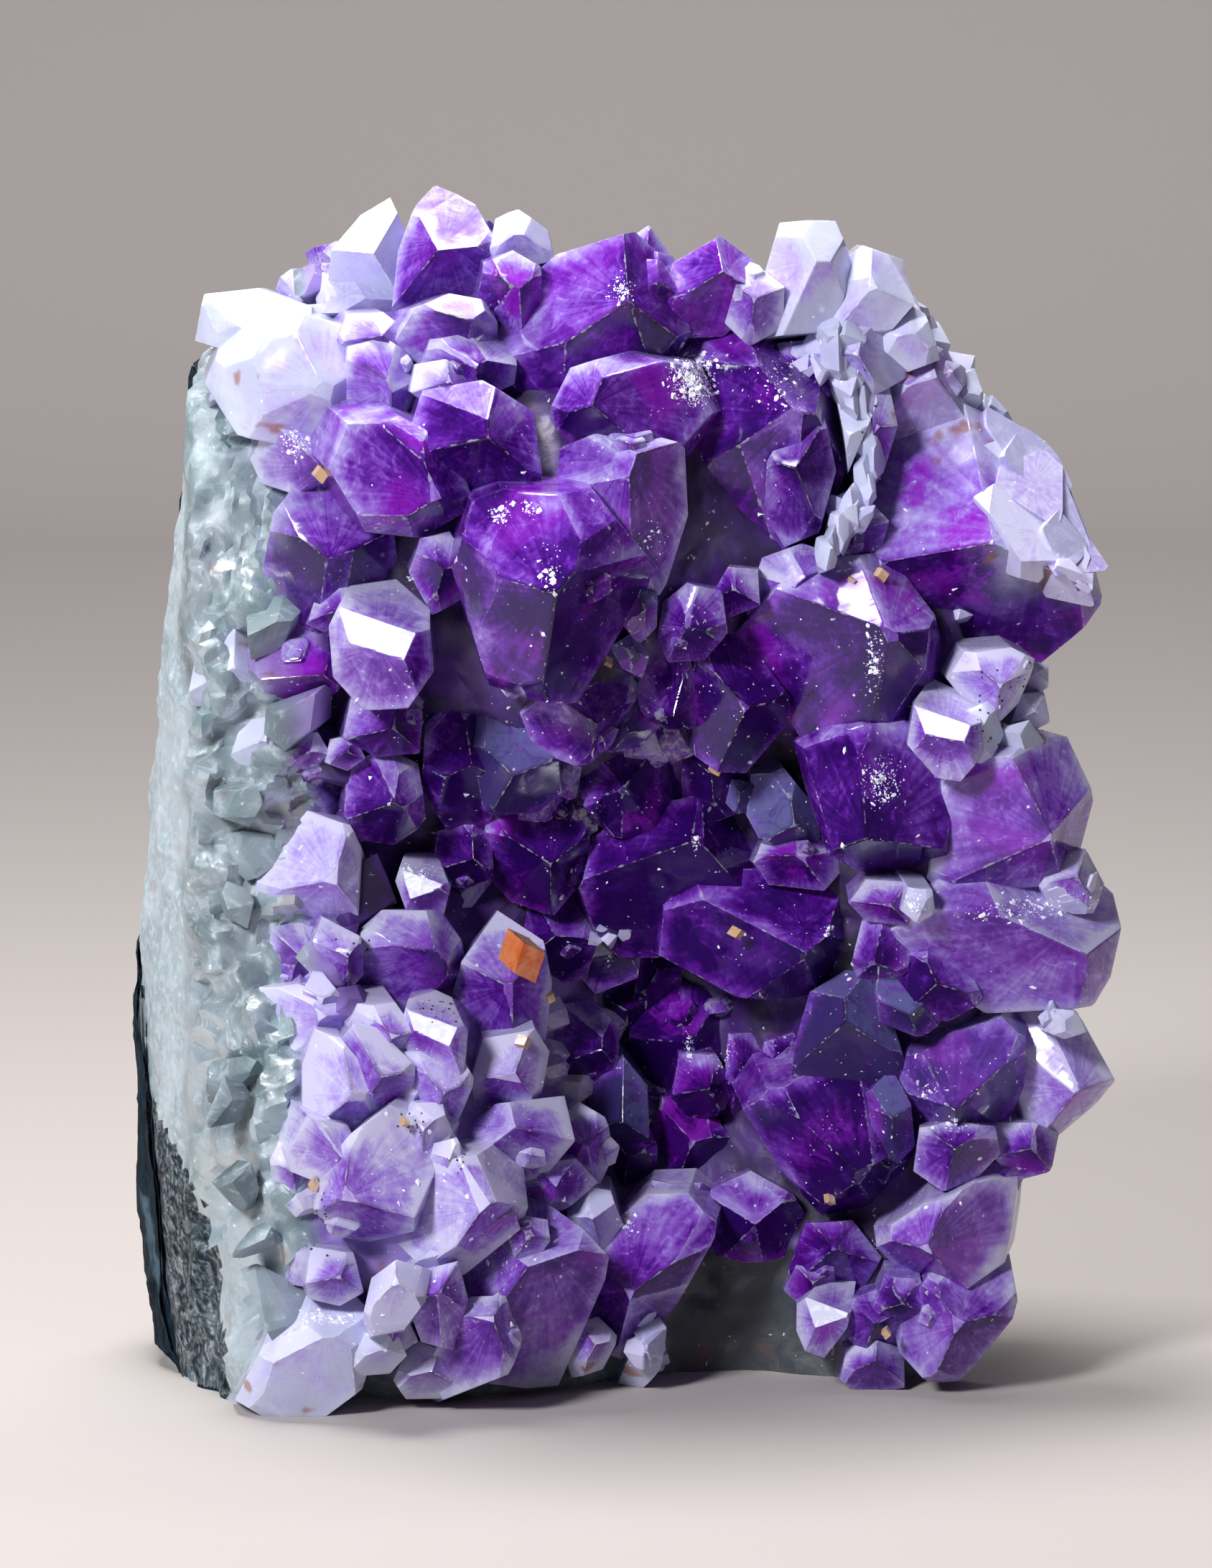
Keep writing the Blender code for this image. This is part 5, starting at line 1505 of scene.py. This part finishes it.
def add_flake(bm, point, normal, rng):
    """A closed flake of three to five sides, half sunk in the face that carries it."""
    size = min(1.5, 0.2 * rng.paretovariate(1.9))
    facing = (normal + spray(rng, 0.25)).normalized()
    across = facing.orthogonal().normalized()
    across.rotate(Matrix.Rotation(rng.uniform(0, math.tau), 3, facing))
    up = facing.cross(across) * rng.uniform(0.3, 1.0)
    sides = rng.choice((3, 4, 5))
    rings = []
    for share, rise in ((0.6, -0.2), (0.45, 0.14)):
        ring = []
        for k in range(sides):
            angle = math.tau * k / sides + rng.uniform(-0.3, 0.3)
            spot = across * math.cos(angle) + up * math.sin(angle)
            ring.append(bm.verts.new((point + (spot * share + facing * rise) * size) * MM))
        rings.append(ring)
    low, high = rings
    bm.faces.new(high)
    bm.faces.new(low[::-1])
    for k in range(sides):
        n = (k + 1) % sides
        bm.faces.new((low[k], low[n], high[n], high[k]))


def add_glitter(material, tree):
    """Flakes of many sizes, thickest in the middle of each patch."""
    rng = random.Random(14)
    bm = bmesh.new()
    for x0, x1, z0, z1, count in GLITTER:
        for _ in range(count * FLAKES_EACH):
            x = rng.gauss((x0 + x1) / 2, (x1 - x0) * 0.22)
            z = rng.gauss((z0 + z1) / 2, (z1 - z0) * 0.22)
            point, normal = seen_point(tree, x, z)
            if point is not None:
                add_flake(bm, point, normal, rng)
    piece = Piece("glitter", 20.0)
    piece.add(bm)
    piece.make(material)


def add_specks(material, tree):
    rng = random.Random(15)
    piece = Piece("dark_specks")
    for x0, x1, z0, z1, count in SPECKS:
        for _ in range(count):
            point, _ = seen_point(tree, rng.uniform(x0, x1), rng.uniform(z0, z1))
            if point is None:
                continue
            bm = bmesh.new()
            bmesh.ops.create_icosphere(bm, subdivisions=1, radius=rng.uniform(0.16, 0.34) * MM)
            bmesh.ops.translate(bm, verts=bm.verts[:], vec=point * MM)
            piece.add(bm)
    piece.make(material)


# ---------------------------------------------------------------- calcite
RHOMB_STRETCH = Vector((0.86, 1.0, 1.18))
RHOMB_WEAR, RHOMB_GRAIN = 1.7, 0.5      # width of the bevel, and the mesh's longest edges
GRAIN_WEAR, GRAIN_GRAIN = 0.22, 0.4
CALCITE_UNEVEN = 0.12


def worn(node, wear, grain, stretch=None):
    """A copy of a node's mesh with its faces slightly uneven and stepped.  The node's
    triangles come unwelded, so the bevel can't round the edges that they share, and
    the copy is not closed."""
    bm = bmesh.new()
    bm.from_mesh(node.data)
    bm.transform(node.matrix_world)
    bmesh.ops.dissolve_limit(bm, angle_limit=math.radians(2), verts=bm.verts[:], edges=bm.edges[:])
    bevelled(bm, wear, 3)
    bmesh.ops.triangulate(bm, faces=bm.faces[:])
    split_long(bm, grain, 4)
    bm.normal_update()
    for vert in bm.verts:
        p = vert.co / MM
        step = noise.noise(Vector((p.x * 0.5, p.y * 0.5, p.z * 2.2)))
        vert.co += vert.normal * CALCITE_UNEVEN * MM * (noise.noise(p * 0.45) + 0.4 * step)
    if stretch:
        middle = centre_of([vert.co for vert in bm.verts])
        for vert in bm.verts:
            vert.co = middle + (vert.co - middle) * stretch
    return bm


def add_calcite(orange, cream):
    for name, node in list(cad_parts.items()):
        if not name.startswith("calcite"):
            continue
        piece = Piece(name + "_worn", 30.0)
        if name == "calcite_rhomb":
            piece.add(worn(node, RHOMB_WEAR, RHOMB_GRAIN, RHOMB_STRETCH))
            piece.make(orange, "calcite_orange", name)
        else:
            piece.add(worn(node, GRAIN_WEAR, GRAIN_GRAIN))
            piece.make(cream, "calcite_cream", name)


# ---------------------------------------------------------------- stage, in metres
FLOOR_WIDTH = 5.0
FLOOR_FRONT, COVE_START, COVE_RADIUS, BACKDROP_TOP = -2.4, 1.8, 0.4, 2.4
LIGHT_BOUNCES = 5           # light that has crossed five faces of the crystals is nearly spent
CAMERA_TARGET = Vector((-0.0033, 0, 0.1157))
CAMERA_DISTANCE = 1.5
CAMERA_ELEVATION = 7.0
TALL_VIEW = 0.3086          # height that the picture covers at the target
SENSOR = 36.0


def add_stage():
    """A pale floor that sweeps up behind into a plain backdrop."""
    profile = [(FLOOR_FRONT, 0.0), (COVE_START, 0.0)]
    profile += [(COVE_START + COVE_RADIUS * math.sin(a), COVE_RADIUS * (1 - math.cos(a)))
                for a in np.linspace(0.1, 1.5, 12)]
    profile += [(COVE_START + COVE_RADIUS, BACKDROP_TOP)]
    bm = bmesh.new()
    sides = (-FLOOR_WIDTH / 2, FLOOR_WIDTH / 2)
    rows = [[bm.verts.new((x, y, z)) for x in sides] for y, z in profile]
    for low, high in zip(rows, rows[1:]):
        bm.faces.new((low[0], low[1], high[1], high[0]))
    sweep = bpy.data.meshes.new("sweep")
    bm.to_mesh(sweep)
    bm.free()
    sweep.shade_smooth()
    sweep.materials.append(plain("sweep", rgb(176, 169, 167), 0.8))
    obj = bpy.data.objects.new("sweep", sweep)
    bpy.context.scene.collection.objects.link(obj)


def area_light(name, place, target, size, power, colour):
    light = bpy.data.lights.new(name, "AREA")
    light.shape = "RECTANGLE"
    light.size, light.size_y = size
    light.energy = power
    light.color = colour
    obj = bpy.data.objects.new(name, light)
    obj.location = place
    obj.rotation_euler = (Vector(target) - Vector(place)).to_track_quat("-Z", "Y").to_euler()
    bpy.context.scene.collection.objects.link(obj)


def add_lights():
    middle = (0, 0, 0.12)
    area_light("key", (-0.15, 0.05, 0.95), middle, (0.42, 0.34), 10.5, (1.0, 0.99, 0.97))
    area_light("front", (-0.75, -1.2, 0.9), middle, (0.3, 0.3), 29.0, (0.97, 0.98, 1.0))
    area_light("backdrop", (0, 0.9, 2.2), (0, 2.2, 0.7), (1.6, 0.6), 30.0, (1.0, 1.0, 1.0))
    world = bpy.data.worlds.new("studio")
    world.use_nodes = True
    background = world.node_tree.nodes["Background"].inputs
    background["Color"].default_value = (0.62, 0.60, 0.62, 1)
    background["Strength"].default_value = 0.10
    bpy.context.scene.world = world
    bpy.context.scene.cycles.max_bounces = LIGHT_BOUNCES


def add_camera():
    camera = bpy.data.cameras.new("camera")
    camera.sensor_width = SENSOR
    camera.sensor_fit = "AUTO"
    camera.lens = SENSOR * CAMERA_DISTANCE / TALL_VIEW
    obj = bpy.data.objects.new("camera", camera)
    tilt = math.radians(CAMERA_ELEVATION)
    obj.location = CAMERA_TARGET + Vector((0, -math.cos(tilt), math.sin(tilt))) * CAMERA_DISTANCE
    obj.rotation_euler = (math.radians(90 - CAMERA_ELEVATION), 0, 0)
    bpy.context.scene.collection.objects.link(obj)
    bpy.context.scene.camera = obj


def main():
    violet, stone = amethyst(), quartz()
    wall_tree, patch = add_wall(stone)
    tree = add_crystals(violet)
    add_small_crystals(violet, wall_tree, tree)
    add_quartz_grains(stone, wall_tree, tree)
    add_blocks(violet, tree)
    add_fin(violet)
    add_glitter(glint(), tree)
    add_specks(plain("specks", rgb(26, 20, 30), 0.5), tree)
    add_rind(basalt(), patch)
    add_calcite(calcite("calcite_orange", rgb(228, 102, 6), rgb(242, 202, 156)),
                calcite("calcite_cream", rgb(214, 170, 120), rgb(238, 222, 200)))
    add_stage()
    add_lights()
    add_camera()
    bpy.context.scene.view_settings.view_transform = "Standard"


main()
